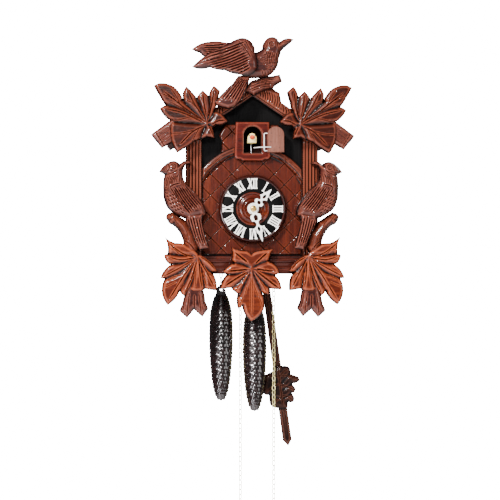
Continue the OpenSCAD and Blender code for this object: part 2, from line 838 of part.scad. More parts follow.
// The door is drawn shut and turned open about its wire hinge.
module cuckoo_door() {
    half = opening_half - 0.55;
    low = opening_sill + 0.5;
    top = opening_top - 0.6;
    wire = 0.6;
    arm = 0.5;
    foot = [7, dial_y - 4.3];
    translate([door_hinge[0], door_hinge[1], 0]) rotate(door_open)
        translate([-door_hinge[0], -door_hinge[1], 0]) {
            color("#a08478") panel(dial_y - 4, 3) {
                translate([-half, low]) square([2 * half, top - half - low]);
                translate([0, top - half]) circle(half, $fn = fine);
            }
            color("white") {
                translate([door_hinge[0], door_hinge[1], low + 1]) cylinder(r = wire, h = 22, $fn = coarse);
                for (z = [low + 2, low + 22])
                    translate([foot[0], foot[1], z]) rotate([0, 90, heading(foot, door_hinge)])
                        cylinder(r = arm, h = distance(foot, door_hinge) + 0.2, $fn = coarse);
            }
        }
}

// A bent wire from the door towards the bird's post.
link_low = -34;
link_r = 0.5;
link_bends = [[20.45, -111.3], [13.5, -111.3], [7, -106], [2, -98]];

module door_link() {
    color("white") translate([0, 0, link_low - link_r]) linear_extrude(2 * link_r) {
        for (i = [0:2]) {
            a = link_bends[i];
            b = link_bends[i + 1];
            translate(a) rotate(heading(a, b)) translate([0, -link_r]) square([distance(a, b), 2 * link_r]);
            if (i > 0) translate(a) circle(link_r, $fn = coarse);
        }
    }
}

// --- Rear door --------------------------------------------------------------------------------

module rear_door() {
    gap = 0.6;
    low = floor_low + floor_t + gap;
    high = rail_low - gap;
    color(wood) translate([-inner_half + 0.8, -7, low]) cube([2 * inner_half - 1.8, 5, high - low]);
    color(brass) {
        translate([door_pin[0], door_pin[1], low - 3]) cylinder(r = door_pin_r, h = 3, $fn = fine);
        translate([door_pin[0], door_pin[1], high]) cylinder(r = door_pin_r, h = 3, $fn = fine);
    }
}

// --- Chains and weights -----------------------------------------------------------------------

// One chain: up from the weight, over its wheel and down to the free end.
module chain(at, weight_top) {
    clear = 0.3;
    color(brass) {
        panel(chain_y - chain_w / 2, chain_w) translate(at) difference() {
            circle(sprocket_r + chain_t / 2, $fn = fine);
            circle(sprocket_r - chain_t / 2, $fn = fine);
            translate([-20, -40]) square([40, 40]);
        }
        for (end = [[-1, weight_top + clear], [1, chain_end_z + clear]])
            translate([at[0] + end[0] * sprocket_r - chain_t / 2, chain_y - chain_w / 2, end[1]])
                cube([chain_t, chain_w, at[1] - end[1]]);
    }
}

module time_chain() { chain(time_arbor, time_top); }
module strike_chain() { chain(strike_arbor, strike_top); }

module chain_ring(at) {
    color(brass) translate([at[0] + sprocket_r, chain_y, chain_end_z - 8]) rotate([90, 0, 0])
        rotate_extrude($fn = fine) translate([7, 0]) circle(1, $fn = coarse);
}

module time_chain_ring() { chain_ring(time_arbor); }
module strike_chain_ring() { chain_ring(strike_arbor); }

// A pine cone: rows of scales round a long barrel, under a flat hanger with an eye.
module cone_weight(at, top) {
    rows = 28;
    first = -12;
    foot = first - 2;
    row = cone_len / rows;
    swell = function (t) cone_r * (0.62 + 0.38 * sin(180 * min(1, t * 1.25 + 0.1))) * sqrt(1 - pow(t, 5));
    side = [for (i = [0:rows - 1]) for (e = [[0, 0.93], [0.75, 1]])
        [swell((i + e[0]) / rows) * e[1], first - (i + e[0]) * row]];
    color("#20100c") translate([at[0] - sprocket_r, chain_y, top]) {
        rotate_extrude($fn = fine) polygon(concat([[0, first]], side, [[0, first - cone_len + 0.5]]));
        difference() {
            translate([0, -2.5, 0]) panel(0, 5)
                polygon([[-2, 0], [2, 0], [5, -5], [7, foot], [-7, foot], [-5, -5]]);
            panel(-4, 8) translate([0, -4.5]) circle(1.6, $fn = fine);
        }
    }
}

module time_weight() { cone_weight(time_arbor, time_top); }
module strike_weight() { cone_weight(strike_arbor, strike_top); }

left_side();
right_side();
bottom_board();
left_roof_board();
right_roof_board();
back_rail();
hanger_plate();
front_board();
front_plate();
front_posts();
base_ledge();
gable_trim();
top_branch();
top_bird();
top_bird_wings();
upper_left_leaf();
upper_right_leaf();
left_vine();
right_vine();
left_bird();
right_bird();
center_leaf();
door_surround();
dial();
numerals();
movement_back_plate();
movement_front_plate();
plate_pillars();
gong();
bellows_pipes();
time_chain();
strike_chain();
minute_hand();
hand_nut();
cannon_pinion();
hour_hand();
hour_wheel();
motion_wheel();
time_great_wheel();
center_wheel();
third_wheel();
escape_wheel();
pallet_anchor();
pendulum_stick();
pendulum_leaf();
strike_great_wheel();
time_chain_wheel();
strike_chain_wheel();
cuckoo_bird();
cuckoo_arm();
cuckoo_door();
door_link();
rear_door();
left_bellows_lid();
right_bellows_lid();
gong_hammer();
time_weight();
strike_weight();
time_chain_ring();
strike_chain_ring();
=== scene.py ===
"""Looks of a carved wall clock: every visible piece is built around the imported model's frame."""

import json
import math
import random

import bpy
import numpy as np
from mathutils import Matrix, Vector
from mathutils.geometry import delaunay_2d_cdt

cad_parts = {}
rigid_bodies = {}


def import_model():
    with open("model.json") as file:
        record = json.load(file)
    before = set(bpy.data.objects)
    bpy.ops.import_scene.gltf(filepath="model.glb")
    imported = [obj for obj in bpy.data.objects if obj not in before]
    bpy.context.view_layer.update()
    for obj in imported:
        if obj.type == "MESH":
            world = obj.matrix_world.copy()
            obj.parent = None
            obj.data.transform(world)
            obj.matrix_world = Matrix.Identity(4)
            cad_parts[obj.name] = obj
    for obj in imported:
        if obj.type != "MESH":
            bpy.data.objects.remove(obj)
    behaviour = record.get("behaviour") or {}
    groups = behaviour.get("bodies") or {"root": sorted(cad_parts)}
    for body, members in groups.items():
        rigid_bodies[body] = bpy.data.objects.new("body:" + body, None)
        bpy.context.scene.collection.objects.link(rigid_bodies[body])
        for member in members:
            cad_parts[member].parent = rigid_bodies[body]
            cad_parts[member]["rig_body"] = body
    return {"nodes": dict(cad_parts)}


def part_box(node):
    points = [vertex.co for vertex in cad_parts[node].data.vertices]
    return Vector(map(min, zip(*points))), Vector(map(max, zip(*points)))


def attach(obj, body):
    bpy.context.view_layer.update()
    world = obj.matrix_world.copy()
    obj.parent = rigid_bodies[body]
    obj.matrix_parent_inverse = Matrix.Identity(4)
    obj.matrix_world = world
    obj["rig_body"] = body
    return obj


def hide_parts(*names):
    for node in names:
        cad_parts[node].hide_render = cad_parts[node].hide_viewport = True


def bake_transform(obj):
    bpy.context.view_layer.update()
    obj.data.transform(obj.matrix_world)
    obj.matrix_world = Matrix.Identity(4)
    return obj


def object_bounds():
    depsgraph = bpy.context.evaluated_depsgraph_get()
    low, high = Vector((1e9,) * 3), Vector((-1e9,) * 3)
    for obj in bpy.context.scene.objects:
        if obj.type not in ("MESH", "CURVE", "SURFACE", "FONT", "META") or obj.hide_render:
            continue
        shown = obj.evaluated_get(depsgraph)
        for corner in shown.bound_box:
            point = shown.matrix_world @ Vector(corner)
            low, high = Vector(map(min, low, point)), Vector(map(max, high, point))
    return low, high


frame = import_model()
cad_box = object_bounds()
nodes = frame["nodes"]
random.seed(7)
MM = 0.001


def lows(node):
    """The lowest corner of a CAD node, in millimetres."""
    return np.array(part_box(node)[0]) / MM


def highs(node):
    """The highest corner of a CAD node, in millimetres."""
    return np.array(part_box(node)[1]) / MM


# Camera -----------------------------------------------------------------------------------------

CAMERA_TURN = math.radians(6)
CAMERA_DISTANCE = 1.65
CAMERA_HEIGHT = -0.1518
CAMERA_ASIDE = -0.0028
VIEW_WIDTH = 0.575
SENSOR = 36
FRONT_Y = -0.102


def make_camera():
    data = bpy.data.cameras.new("camera")
    data.sensor_width = SENSOR
    data.lens = data.sensor_width * CAMERA_DISTANCE / VIEW_WIDTH
    data.clip_end = 50
    camera = bpy.data.objects.new("camera", data)
    bpy.context.scene.collection.objects.link(camera)
    along = Vector((math.sin(CAMERA_TURN), math.cos(CAMERA_TURN), 0))
    right = Vector((math.cos(CAMERA_TURN), -math.sin(CAMERA_TURN), 0))
    at = Vector((0, FRONT_Y, CAMERA_HEIGHT)) + right * CAMERA_ASIDE - along * CAMERA_DISTANCE
    camera.location = at
    camera.rotation_euler = (math.radians(90), 0, -CAMERA_TURN)
    bpy.context.scene.camera = camera


# Materials --------------------------------------------------------------------------------------


class Nodes:
    """A short way to write a material's node tree."""

    def __init__(self, name):
        self.material = bpy.data.materials.new(name)
        self.material.use_nodes = True
        self.tree = self.material.node_tree
        self.tree.nodes.clear()
        self.shader = self.add("ShaderNodeBsdfPrincipled")
        out = self.add("ShaderNodeOutputMaterial")
        self.link(self.shader.outputs[0], out.inputs["Surface"])
        self.place = self.add("ShaderNodeTexCoord").outputs["Object"]

    def add(self, kind, **values):
        made = self.tree.nodes.new(kind)
        for name, value in values.items():
            setattr(made, name, value)
        return made

    def link(self, source, target):
        self.tree.links.new(source, target)

    def set(self, socket, value):
        if isinstance(value, bpy.types.NodeSocket):
            self.link(value, socket)
        else:
            socket.default_value = value

    def scaled(self, scale):
        mapping = self.add("ShaderNodeMapping")
        self.link(self.place, mapping.inputs["Vector"])
        mapping.inputs["Scale"].default_value = scale
        return mapping.outputs[0]

    def noise(self, vector, scale, detail=3, rough=0.55, distortion=0.0):
        made = self.add("ShaderNodeTexNoise")
        self.link(vector, made.inputs["Vector"])
        made.inputs["Scale"].default_value = scale
        made.inputs["Detail"].default_value = detail
        made.inputs["Roughness"].default_value = rough
        made.inputs["Distortion"].default_value = distortion
        return made.outputs["Fac"]

    def ramp(self, factor, *stops):
        made = self.add("ShaderNodeValToRGB")
        self.link(factor, made.inputs[0])
        elements = made.color_ramp.elements
        while len(elements) < len(stops):
            elements.new(0.5)
        for element, (at, colour) in zip(elements, stops):
            element.position = at
            element.color = colour if len(colour) == 4 else (*colour, 1)
        return made.outputs[0]

    def mix(self, factor, a, b):
        made = self.add("ShaderNodeMix", data_type="RGBA")
        self.set(made.inputs["Factor"], factor)
        for socket, value in ((made.inputs[6], a), (made.inputs[7], b)):
            self.set(socket, value if isinstance(value, bpy.types.NodeSocket) else (*value, 1))
        return made.outputs[2]

    def math(self, operation, a, b):
        made = self.add("ShaderNodeMath", operation=operation)
        self.set(made.inputs[0], a)
        self.set(made.inputs[1], b)
        return made.outputs[0]

    def attribute(self, name):
        return self.add("ShaderNodeAttribute", attribute_name=name).outputs["Fac"]

    def bump(self, height, strength, distance):
        made = self.add("ShaderNodeBump")
        made.inputs["Strength"].default_value = strength
        made.inputs["Distance"].default_value = distance
        self.link(height, made.inputs["Height"])
        self.link(made.outputs[0], self.shader.inputs["Normal"])

    def finish(self, colour, roughness, **sockets):
        self.set(self.shader.inputs["Base Color"], colour)
        self.set(self.shader.inputs["Roughness"], roughness)
        for name, value in sockets.items():
            self.shader.inputs[name.replace("_", " ")].default_value = value
        return self.material


def rgb(r, g, b):
    """A colour as the screen shows it, from 0 to 255, made linear."""
    return tuple((c / 255 / 12.92) if c <= 10 else ((c / 255 + 0.055) / 1.055) ** 2.4 for c in (r, g, b))


GRAIN_ALONG = {"x": (1, 14, 14), "y": (14, 1, 14), "z": (14, 14, 1)}


def wood(name, dark, mid, light, along="x", gloss=0.3, coat=0.32, facet=0.8, highlight_share=0.5):
    """Stained and varnished wood: long grain, pores, painted shade in the hollows and painted highlights on the raised
    edges.
    """
    n = Nodes(name)
    grain_place = n.scaled(GRAIN_ALONG[along])
    broad = n.noise(n.scaled([0.5 * v for v in GRAIN_ALONG[along]]), 9, 3, 0.5, 0.6)
    grain = n.noise(grain_place, 26, 5, 0.62, 1.1)
    pores = n.noise(grain_place, 95, 2, 0.6)
    blotch = n.noise(n.place, 22, 2, 0.5)
    body = n.ramp(n.math("ADD", n.math("MULTIPLY", grain, 0.62), n.math("MULTIPLY", broad, 0.42)),
                  (0.34, dark), (0.5, mid), (0.68, light))
    body = n.mix(n.ramp(blotch, (0.35, (0, 0, 0)), (0.75, (1, 1, 1))), body, mid)
    pore = n.ramp(pores, (0.30, (1, 1, 1)), (0.42, (0, 0, 0)))
    body = n.mix(n.math("MULTIPLY", pore, 0.45), body, tuple(0.35 * c for c in dark))
    # painted shade: the colour goes to near-black in the carved hollows and cuts
    hollow_shade = n.attribute("hollow_shade")
    body = n.mix(hollow_shade, body, tuple(0.08 * c for c in dark))
    # painted highlight: raised edges lightened towards a pale pinkish colour, standing in for glints
    wear_and_highlight = n.attribute("ridge")
    body = n.mix(n.math("MULTIPLY", wear_and_highlight, highlight_share), body,
                 tuple(min(1, 1.9 * c + a) for c, a in zip(light, (0.1, 0.035, 0.02))))
    rough = n.math("ADD", gloss, n.math("MULTIPLY", grain, 0.16))
    rough = n.math("ADD", rough, n.math("MULTIPLY", pore, 0.12))
    relief = n.math("SUBTRACT", grain, n.math("MULTIPLY", pore, 0.7))
    if facet:
        cells = n.add("ShaderNodeTexVoronoi", feature="SMOOTH_F1")
        n.link(n.place, cells.inputs["Vector"])
        cells.inputs["Scale"].default_value = 170
        cells.inputs["Smoothness"].default_value = 0.35
        relief = n.math("ADD", relief, n.math("MULTIPLY", cells.outputs["Distance"], facet))
    n.bump(relief, 0.4, 0.0005)
    return n.finish(body, rough, Coat_Weight=coat, Coat_Roughness=0.08, Specular_IOR_Level=0.08)


def metal(name, colour, wear_and_highlight, roughness, grime):
    """Polished or dull metal with smears and a little grime."""
    n = Nodes(name)
    smear = n.noise(n.scaled((1, 1, 3)), 160, 3, 0.6)
    spots = n.noise(n.place, 420, 2, 0.5)
    tint = n.mix(n.ramp(smear, (0.35, (0, 0, 0)), (0.7, (1, 1, 1))), colour, wear_and_highlight)
    tint = n.mix(n.math("MULTIPLY", n.ramp(spots, (0.58, (0, 0, 0)), (0.75, (1, 1, 1))), grime), tint,
                 tuple(0.3 * c for c in colour))
    n.bump(smear, 0.12, 0.0002)
    rough = n.math("ADD", roughness, n.math("MULTIPLY", smear, 0.18))
    return n.finish(tint, rough, Metallic=1.0)


def plain(name, colour, other, roughness, grain=180.0, metallic=0.0, coat=0.0, depth=0.0002, spec=0.3):
    """Paint, plastic or lacquer: a soft mottle, brush marks and a slightly uneven surface."""
    n = Nodes(name)
    mottle = n.noise(n.place, grain, 4, 0.6)
    fine = n.noise(n.place, grain * 6, 2, 0.5)
    tint = n.mix(n.ramp(mottle, (0.35, (0, 0, 0)), (0.7, (1, 1, 1))), colour, other)
    # painted shade: darker in the carved hollows and cuts
    tint = n.mix(n.attribute("hollow_shade"), tint, tuple(0.3 * c for c in colour))
    n.bump(n.math("ADD", mottle, n.math("MULTIPLY", fine, 0.4)), 0.2, depth)
    rough = n.math("ADD", roughness, n.math("MULTIPLY", mottle, 0.2))
    return n.finish(tint, rough, Metallic=metallic, Coat_Weight=coat, Specular_IOR_Level=spec)


def make_materials():
    leaf = dict(dark=rgb(18, 5, 3), mid=rgb(62, 19, 8), light=rgb(112, 46, 21))
    bird = dict(dark=rgb(11, 4, 4), mid=rgb(38, 13, 11), light=rgb(78, 36, 29))
    case = dict(dark=rgb(16, 5, 3), mid=rgb(48, 14, 8), light=rgb(80, 33, 20))
    return {
        "leaf": wood("walnut_leaf", **leaf, gloss=0.24),
        # painted shade: a darker copy of the leaf walnut, for the upper leaves and the vine branches
        "leaf_shaded": wood("walnut_leaf_shaded", rgb(11, 3, 1), rgb(36, 8, 3), rgb(70, 21, 8), gloss=0.26),
        "bird": wood("walnut_bird", **bird, gloss=0.26, coat=0.45),
        "case": wood("case_wood", **case, along="z", gloss=0.3),
        "case_deep": wood("case_wood_deep", **case, along="y", gloss=0.34),
        "case_cross": wood("case_wood_cross", **case, along="x", gloss=0.3),
        "plate": wood("plate_wood", rgb(24, 7, 4), rgb(60, 17, 7), rgb(92, 36, 16), along="z", gloss=0.3,
                      facet=0.25, highlight_share=0.12),
        "rim": wood("rim_wood", rgb(13, 4, 2), rgb(40, 11, 6), rgb(72, 27, 14), along="x", gloss=0.26),
        "surround": wood("surround_wood", rgb(22, 3, 1), rgb(54, 7, 2), rgb(76, 14, 4), along="x", gloss=0.3,
                         facet=0.2),
        # painted shade: near-black for the front board, seen through the gaps behind the carvings
        "dark": wood("dark_wood", rgb(1, 1, 1), rgb(2, 1, 1), rgb(3, 2, 2), along="z", gloss=0.6, coat=0.0,
                     facet=0.0),
        "pendulum": wood("pendulum_wood", rgb(5, 1, 1), rgb(15, 4, 3), rgb(28, 9, 6), along="z", gloss=0.4,
                         coat=0.12),
        "door": wood("door_wood", rgb(74, 42, 33), rgb(98, 61, 50), rgb(118, 79, 67), along="z", gloss=0.55,
                     coat=0.0),
        "pipe": wood("pipe_wood", rgb(168, 130, 88), rgb(201, 165, 116), rgb(222, 192, 148), along="z", gloss=0.6,
                     coat=0.0),
        "dial_rim": wood("dial_wood", rgb(16, 4, 3), rgb(34, 9, 6), rgb(60, 20, 12), along="x", gloss=0.24),
        "dial_turned": wood("dial_turned", rgb(32, 8, 4), rgb(62, 18, 8), rgb(96, 38, 16), along="x", gloss=0.2),
        "black": plain("dial_black", rgb(2, 2, 2), rgb(4, 4, 5), 0.5, spec=0.06),
        "bone": plain("bone_plastic", rgb(254, 253, 248), rgb(240, 238, 226), 0.38),
        "cone": plain("cast_cone", rgb(8, 4, 5), rgb(30, 9, 8), 0.16, grain=260.0, metallic=0.2, coat=1.0, spec=0.6,
                      depth=0.0004),
        "brass": metal("brass", rgb(206, 164, 84), rgb(226, 190, 118), 0.22, 0.5),
        "chain": plain("chain_brass", rgb(208, 192, 124), rgb(238, 228, 178), 0.3, metallic=0.6),
        "steel": metal("steel", rgb(206, 208, 212), rgb(230, 232, 236), 0.26, 0.3),
        "gong": metal("gong_steel", rgb(60, 60, 70), rgb(96, 90, 84), 0.35, 0.6),
        "wire": plain("white_wire", rgb(236, 234, 230), rgb(204, 200, 196), 0.35),
        "cream": plain("bird_cream", rgb(232, 206, 120), rgb(244, 228, 164), 0.4, grain=500.0),
        "red": plain("bird_red", rgb(214, 58, 20), rgb(236, 96, 40), 0.4, grain=500.0),
        "ink": plain("bird_ink", rgb(16, 12, 12), rgb(30, 24, 24), 0.3, grain=500.0),
    }


# Mesh building ----------------------------------------------------------------------------------


def new_object(name, vertices, faces, material, body, replaces=(), smooth=35, attributes=None):
    """An object from points in millimetres, shaded smooth up to an angle, riding on a body."""
    mesh = bpy.data.meshes.new(name)
    mesh.from_pydata((np.asarray(vertices, float) * MM).tolist(), [], [list(map(int, f)) for f in faces])
    mesh.validate()
    mesh.update()
    for key, values in (attributes or {}).items():
        mesh.attributes.new(key, "FLOAT", "POINT").data.foreach_set("value", np.asarray(values, np.float32))
    made = bpy.data.objects.new(name, mesh)
    bpy.context.scene.collection.objects.link(made)
    mesh.materials.append(material)
    mesh.shade_smooth()
    mesh.set_sharp_from_angle(angle=math.radians(smooth))
    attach(made, body)
    if replaces:
        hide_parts(*replaces)
    return made


def arcs(points, step=1.2):
    """A closed line through points (x, z, bulge): the stretch after a point swells outwards by bulge of its length."""
    corners = np.array([p[:2] for p in points], float)
    after = np.roll(corners, -1, 0)
    area = np.sum(corners[:, 0] * after[:, 1] - after[:, 0] * corners[:, 1])
    side = 1 if area > 0 else -1
    line = []
    for a, b, p in zip(corners, after, points):
        bulge = p[2] if len(p) > 2 else 0
        length = np.linalg.norm(b - a)
        outward = side * np.array([b[1] - a[1], a[0] - b[0]])
        count = max(1, int(round(length / step)))
        for t in np.arange(count) / count:
            line.append(a + (b - a) * t + outward * bulge * 4 * t * (1 - t))
    return np.array(line)


def curve(points, step=0.8):
    """An open smooth line through the points (Catmull-Rom), with its ends at the first and last."""
    p = np.array(points, float)
    if len(p) == 2:
        count = max(2, int(np.linalg.norm(p[1] - p[0]) / step) + 1)
        return p[0] + (p[1] - p[0]) * np.linspace(0, 1, count)[:, None]
    p = np.vstack([2 * p[0] - p[1], p, 2 * p[-1] - p[-2]])
    line = []
    for a, b, c, d in zip(p, p[1:], p[2:], p[3:]):
        count = max(1, int(np.linalg.norm(c - b) / step))
        for t in np.arange(count) / count:
            line.append(0.5 * (2 * b + (c - a) * t + (2 * a - 5 * b + 4 * c - d) * t * t
                               + (3 * b - a - 3 * c + d) * t ** 3))
    return np.array([*line, p[-2]])


def nearest(points, line, closed=False):
    """Each point's distance to a line, and how far along the line it is nearest, from 0 to 1."""
    a = np.asarray(line, float)
    b = np.roll(a, -1, 0) if closed else a[1:]
    a = a if closed else a[:-1]
    d = b - a
    length = np.maximum((d * d).sum(1), 1e-12)
    along = np.cumsum(np.sqrt(length))
    best = np.full(len(points), 1e9)
    where = np.zeros(len(points))
    for i in range(len(a)):
        t = np.clip(((points - a[i]) @ d[i]) / length[i], 0, 1)
        gap = np.linalg.norm(points - (a[i] + t[:, None] * d[i]), axis=1)
        closer = gap < best
        best[closer] = gap[closer]
        where[closer] = (along[i] - (1 - t[closer]) * math.sqrt(length[i])) / along[-1]
    return best, where


def inside(points, loops):
    """Which points are inside the closed loops, by the even-odd rule."""
    odd = np.zeros(len(points), bool)
    for loop in loops:
        for a, b in zip(loop, np.roll(loop, -1, 0)):
            crosses = (a[1] > points[:, 1]) != (b[1] > points[:, 1])
            if abs(b[1] - a[1]) > 1e-12:
                x = a[0] + (points[:, 1] - a[1]) * (b[0] - a[0]) / (b[1] - a[1])
                odd ^= crosses & (points[:, 0] < x)
    return odd


def triangulate(loops, extra):
    """Points and triangles that fill the loops, using the extra points inside them."""
    points, edges = [], []
    for loop in loops:
        first = len(points)
        points += [tuple(p) for p in loop]
        edges += [(first + i, first + (i + 1) % len(loop)) for i in range(len(loop))]
    points += [tuple(p) for p in extra]
    made = delaunay_2d_cdt([Vector(p) for p in points], edges, [], 0, 1e-6)
    flat = np.array([tuple(v) for v in made[0]])
    triangles = np.array([f for f in made[2] if len(f) == 3])
    keep = inside(flat[triangles].mean(1), loops)
    triangles = triangles[keep]
    a, b, c = (flat[triangles[:, i]] for i in range(3))
    turn = (b[:, 0] - a[:, 0]) * (c[:, 1] - a[:, 1]) - (b[:, 1] - a[:, 1]) * (c[:, 0] - a[:, 0])
    triangles[turn < 0] = triangles[turn < 0][:, ::-1]
    used = np.unique(triangles)
    new = np.full(len(flat), -1)
    new[used] = np.arange(len(used))
    return flat[used], new[triangles]


def field(loops, step, lines=(), gap=0.45):
    """Points for the inside of a shape: a staggered grid, with denser rows along the carved lines."""
    everything = np.vstack(loops)
    low, high = everything.min(0), everything.max(0)
    rows = np.arange(low[1], high[1], step * 0.866)
    grid = [(x + (i % 2) * step / 2, z) for i, z in enumerate(rows) for x in np.arange(low[0], high[0], step)]
    grid = np.array(grid)
    grid = grid[inside(grid, loops)]
    for loop in loops:
        grid = grid[nearest(grid, loop, True)[0] > step * 0.5]
    rails = []
    for line, width in lines:
        way = np.gradient(line, axis=0)
        way /= np.maximum(np.linalg.norm(way, axis=1), 1e-9)[:, None]
        across = np.column_stack([-way[:, 1], way[:, 0]])
        rails += [line, line + across * width, line - across * width]
    if rails:
        rails = np.vstack(rails)
        rails = rails[inside(rails, loops)]
        for loop in loops:
            rails = rails[nearest(rails, loop, True)[0] > gap]
        rails = thin(rails, gap)
        grid = grid[~crowded(grid, rails, step * 0.6)]
        grid = np.vstack([grid, rails])
    return grid


def thin(points, gap):
    """Drops points that are closer than gap to one that is kept."""
    seen, kept = {}, []
    for p in points:
        cell = (int(p[0] // gap), int(p[1] // gap))
        near = [q for i in (-1, 0, 1) for j in (-1, 0, 1) for q in seen.get((cell[0] + i, cell[1] + j), ())]
        if all((p[0] - q[0]) ** 2 + (p[1] - q[1]) ** 2 >= gap * gap for q in near):
            seen.setdefault(cell, []).append(p)
            kept.append(p)
    return np.array(kept) if kept else np.zeros((0, 2))


def crowded(points, others, gap):
    """Which points are within about gap of one of the others."""
    cells = {(int(p[0] // gap), int(p[1] // gap)) for p in others}
    return np.array([(int(p[0] // gap), int(p[1] // gap)) in cells for p in points], bool)


def curvature(vertices, faces, front):
    """How sunken and how raised the carved surface is at each vertex: the masks for painted shade in the hollows and
    painted highlights on the raised edges.
    """
    edges = np.vstack([faces[:, [0, 1]], faces[:, [1, 2]], faces[:, [2, 0]]])
    edges = np.vstack([edges, edges[:, ::-1]])
    count = np.maximum(np.bincount(edges[:, 0], minlength=len(vertices)), 1)
    height = front
    for i in range(22):
        total = np.bincount(edges[:, 0], height[edges[:, 1]], len(vertices))
        height = 0.5 * height + 0.5 * total / count
        if i == 2:
            bend = height - front
    broad = height - front
    # first the painted shade in the hollows and cuts, from narrow and broad smoothing, then the painted highlight on
    # the raised edges
    return np.clip(bend * 7 + broad * 0.8, 0, 1), np.clip(-bend * 6 - broad * 0.5 - 0.15, 0, 1)


def carve(name, body, material, loops, back, height, cuts=(), step=0.8, replaces=(), side=1, rear=None):
    """A carving from a board: the loops' outline, a flat back at y = back and a front cut by height(points, edge).

    cuts are (line, half width, depth) gouges. side -1 mirrors the carving to the left."""
    loops = [np.asarray(loop, float) for loop in loops]
    cuts = [(curve(line), width, depth) for line, width, depth in cuts]
    extra = field(loops, step, [(line, width) for line, width, _ in cuts])
    flat, triangles = triangulate(loops, extra)
    edge = np.full(len(flat), 1e9)
    for loop in loops:
        edge = np.minimum(edge, nearest(flat, loop, True)[0])
    tall = height(flat, edge)
    gouged = np.zeros(len(flat))
    for line, width, depth in cuts:
        gap, along = nearest(flat, line)
        taper = np.clip(np.minimum(along * 6 + 0.35, (1 - along) * 5 + 0.15), 0, 1)
        wide = np.maximum(width * taper, 0.05)
        gouged = np.maximum(gouged, depth * taper * np.clip(1 - gap / wide, 0, 1))
    tall = np.maximum(tall - gouged, 1.0)
    # masks for the painted shade and the painted highlight, kept on the mesh
    hollow_shade, ridge = curvature(flat, triangles, tall)
    deep = rear(flat, edge) if rear else np.zeros(len(flat))
    count = len(flat)
    front = np.column_stack([flat[:, 0], back - tall, flat[:, 1]])
    behind = np.column_stack([flat[:, 0], back - deep, flat[:, 1]])
    pairs = {}
    for t in triangles:
        for a, b in ((t[0], t[1]), (t[1], t[2]), (t[2], t[0])):
            pairs[(a, b)] = True
    walls = [(b, a, a + count, b + count) for a, b in pairs if (b, a) not in pairs]
    faces = [tuple(t) for t in triangles] + [tuple(t[::-1] + count) for t in triangles] + walls
    vertices = np.vstack([front, behind])
    zero = np.zeros(count)
    if side < 0:
        vertices[:, 0] *= -1
        faces = [f[::-1] for f in faces]
    return new_object(name, vertices, faces, material, body, replaces, 40,
                      {"hollow_shade": np.concatenate([hollow_shade, zero]), "ridge": np.concatenate([ridge, zero])})


def pillow(thick, low=0.5, reach=6.0, power=2.0):
    """A height rule: rounded from low of the thickness at the edge to all of it at reach from the edge."""
    return lambda p, edge: thick * (low + (1 - low) * (1 - (1 - np.clip(edge / reach, 0, 1)) ** power))


def valleys(rule, lines, width, depth):
    """A height rule with broad valleys along some lines, such as between a leaf's lobes."""
    smooth = [curve(line) for line in lines]

    def height(p, edge):
        tall = rule(p, edge)
        sunk = np.zeros(len(p))
        for line in smooth:
            gap, along = nearest(p, line)
            fade = np.clip(along * 4, 0.15, 1)
            sunk = np.maximum(sunk, depth * fade * np.clip(1 - gap / width, 0, 1) ** 1.6)
        return tall - sunk

    return height


def stacked(rings, closed=False):
    """Vertices and faces of loops of points joined one to the next: a ring of them, or a stack with closed ends."""
    n, count = len(rings[0]), len(rings)
    faces = []
    for i in range(count if closed else count - 1):
        k = (i + 1) % count
        faces += [(i * n + j, i * n + (j + 1) % n, k * n + (j + 1) % n, k * n + j) for j in range(n)]
    if not closed:
        faces += [tuple(range(n))[::-1], tuple((count - 1) * n + j for j in range(n))]
    return np.array([p for loop in rings for p in loop], float), faces


def turns(around, part=1.0):
    """Angles evenly round a circle, or round a part of it, without the last."""
    return np.linspace(0, 2 * math.pi * part, around, endpoint=False)


def lathe(profile, around=48):
    """Vertices and faces of a closed turned shape about Z from points (radius, z)."""
    return stacked([[(r * math.cos(a), r * math.sin(a), z) for a in turns(around)] for r, z in profile])


def annulus(profile, around=120):
    """Vertices and faces of a turned ring about Z from a closed profile of points (radius, z)."""
    return stacked([[(r * math.cos(a), r * math.sin(a), z) for r, z in profile] for a in turns(around)], True)


def tube(line, radius, around=8, closed=False):
    """Vertices and faces of a round wire along a line of points, with closed ends."""
    line = np.asarray(line, float)
    way = (np.roll(line, -1, 0) - np.roll(line, 1, 0)) if closed else np.gradient(line, axis=0)
    way /= np.linalg.norm(way, axis=1)[:, None]
    up = np.array([0.0, 0.0, 1.0]) if abs(way[0][2]) < 0.9 else np.array([1.0, 0.0, 0.0])
    rings = []
    for at, w in zip(line, way):
        side = np.cross(w, up)
        side /= np.linalg.norm(side)
        up = np.cross(side, w)
        rings.append([at + radius * (math.cos(a) * side + math.sin(a) * up) for a in turns(around)])
    return stacked(rings, closed)


def joined(parts):
    """Several (vertices, faces) as one."""
    vertices, faces, base = [], [], 0
    for v, f in parts:
        vertices.append(np.asarray(v, float))
        faces += [tuple(i + base for i in face) for face in f]
        base += len(v)
    return np.vstack(vertices), faces


# Carvings ---------------------------------------------------------------------------------------

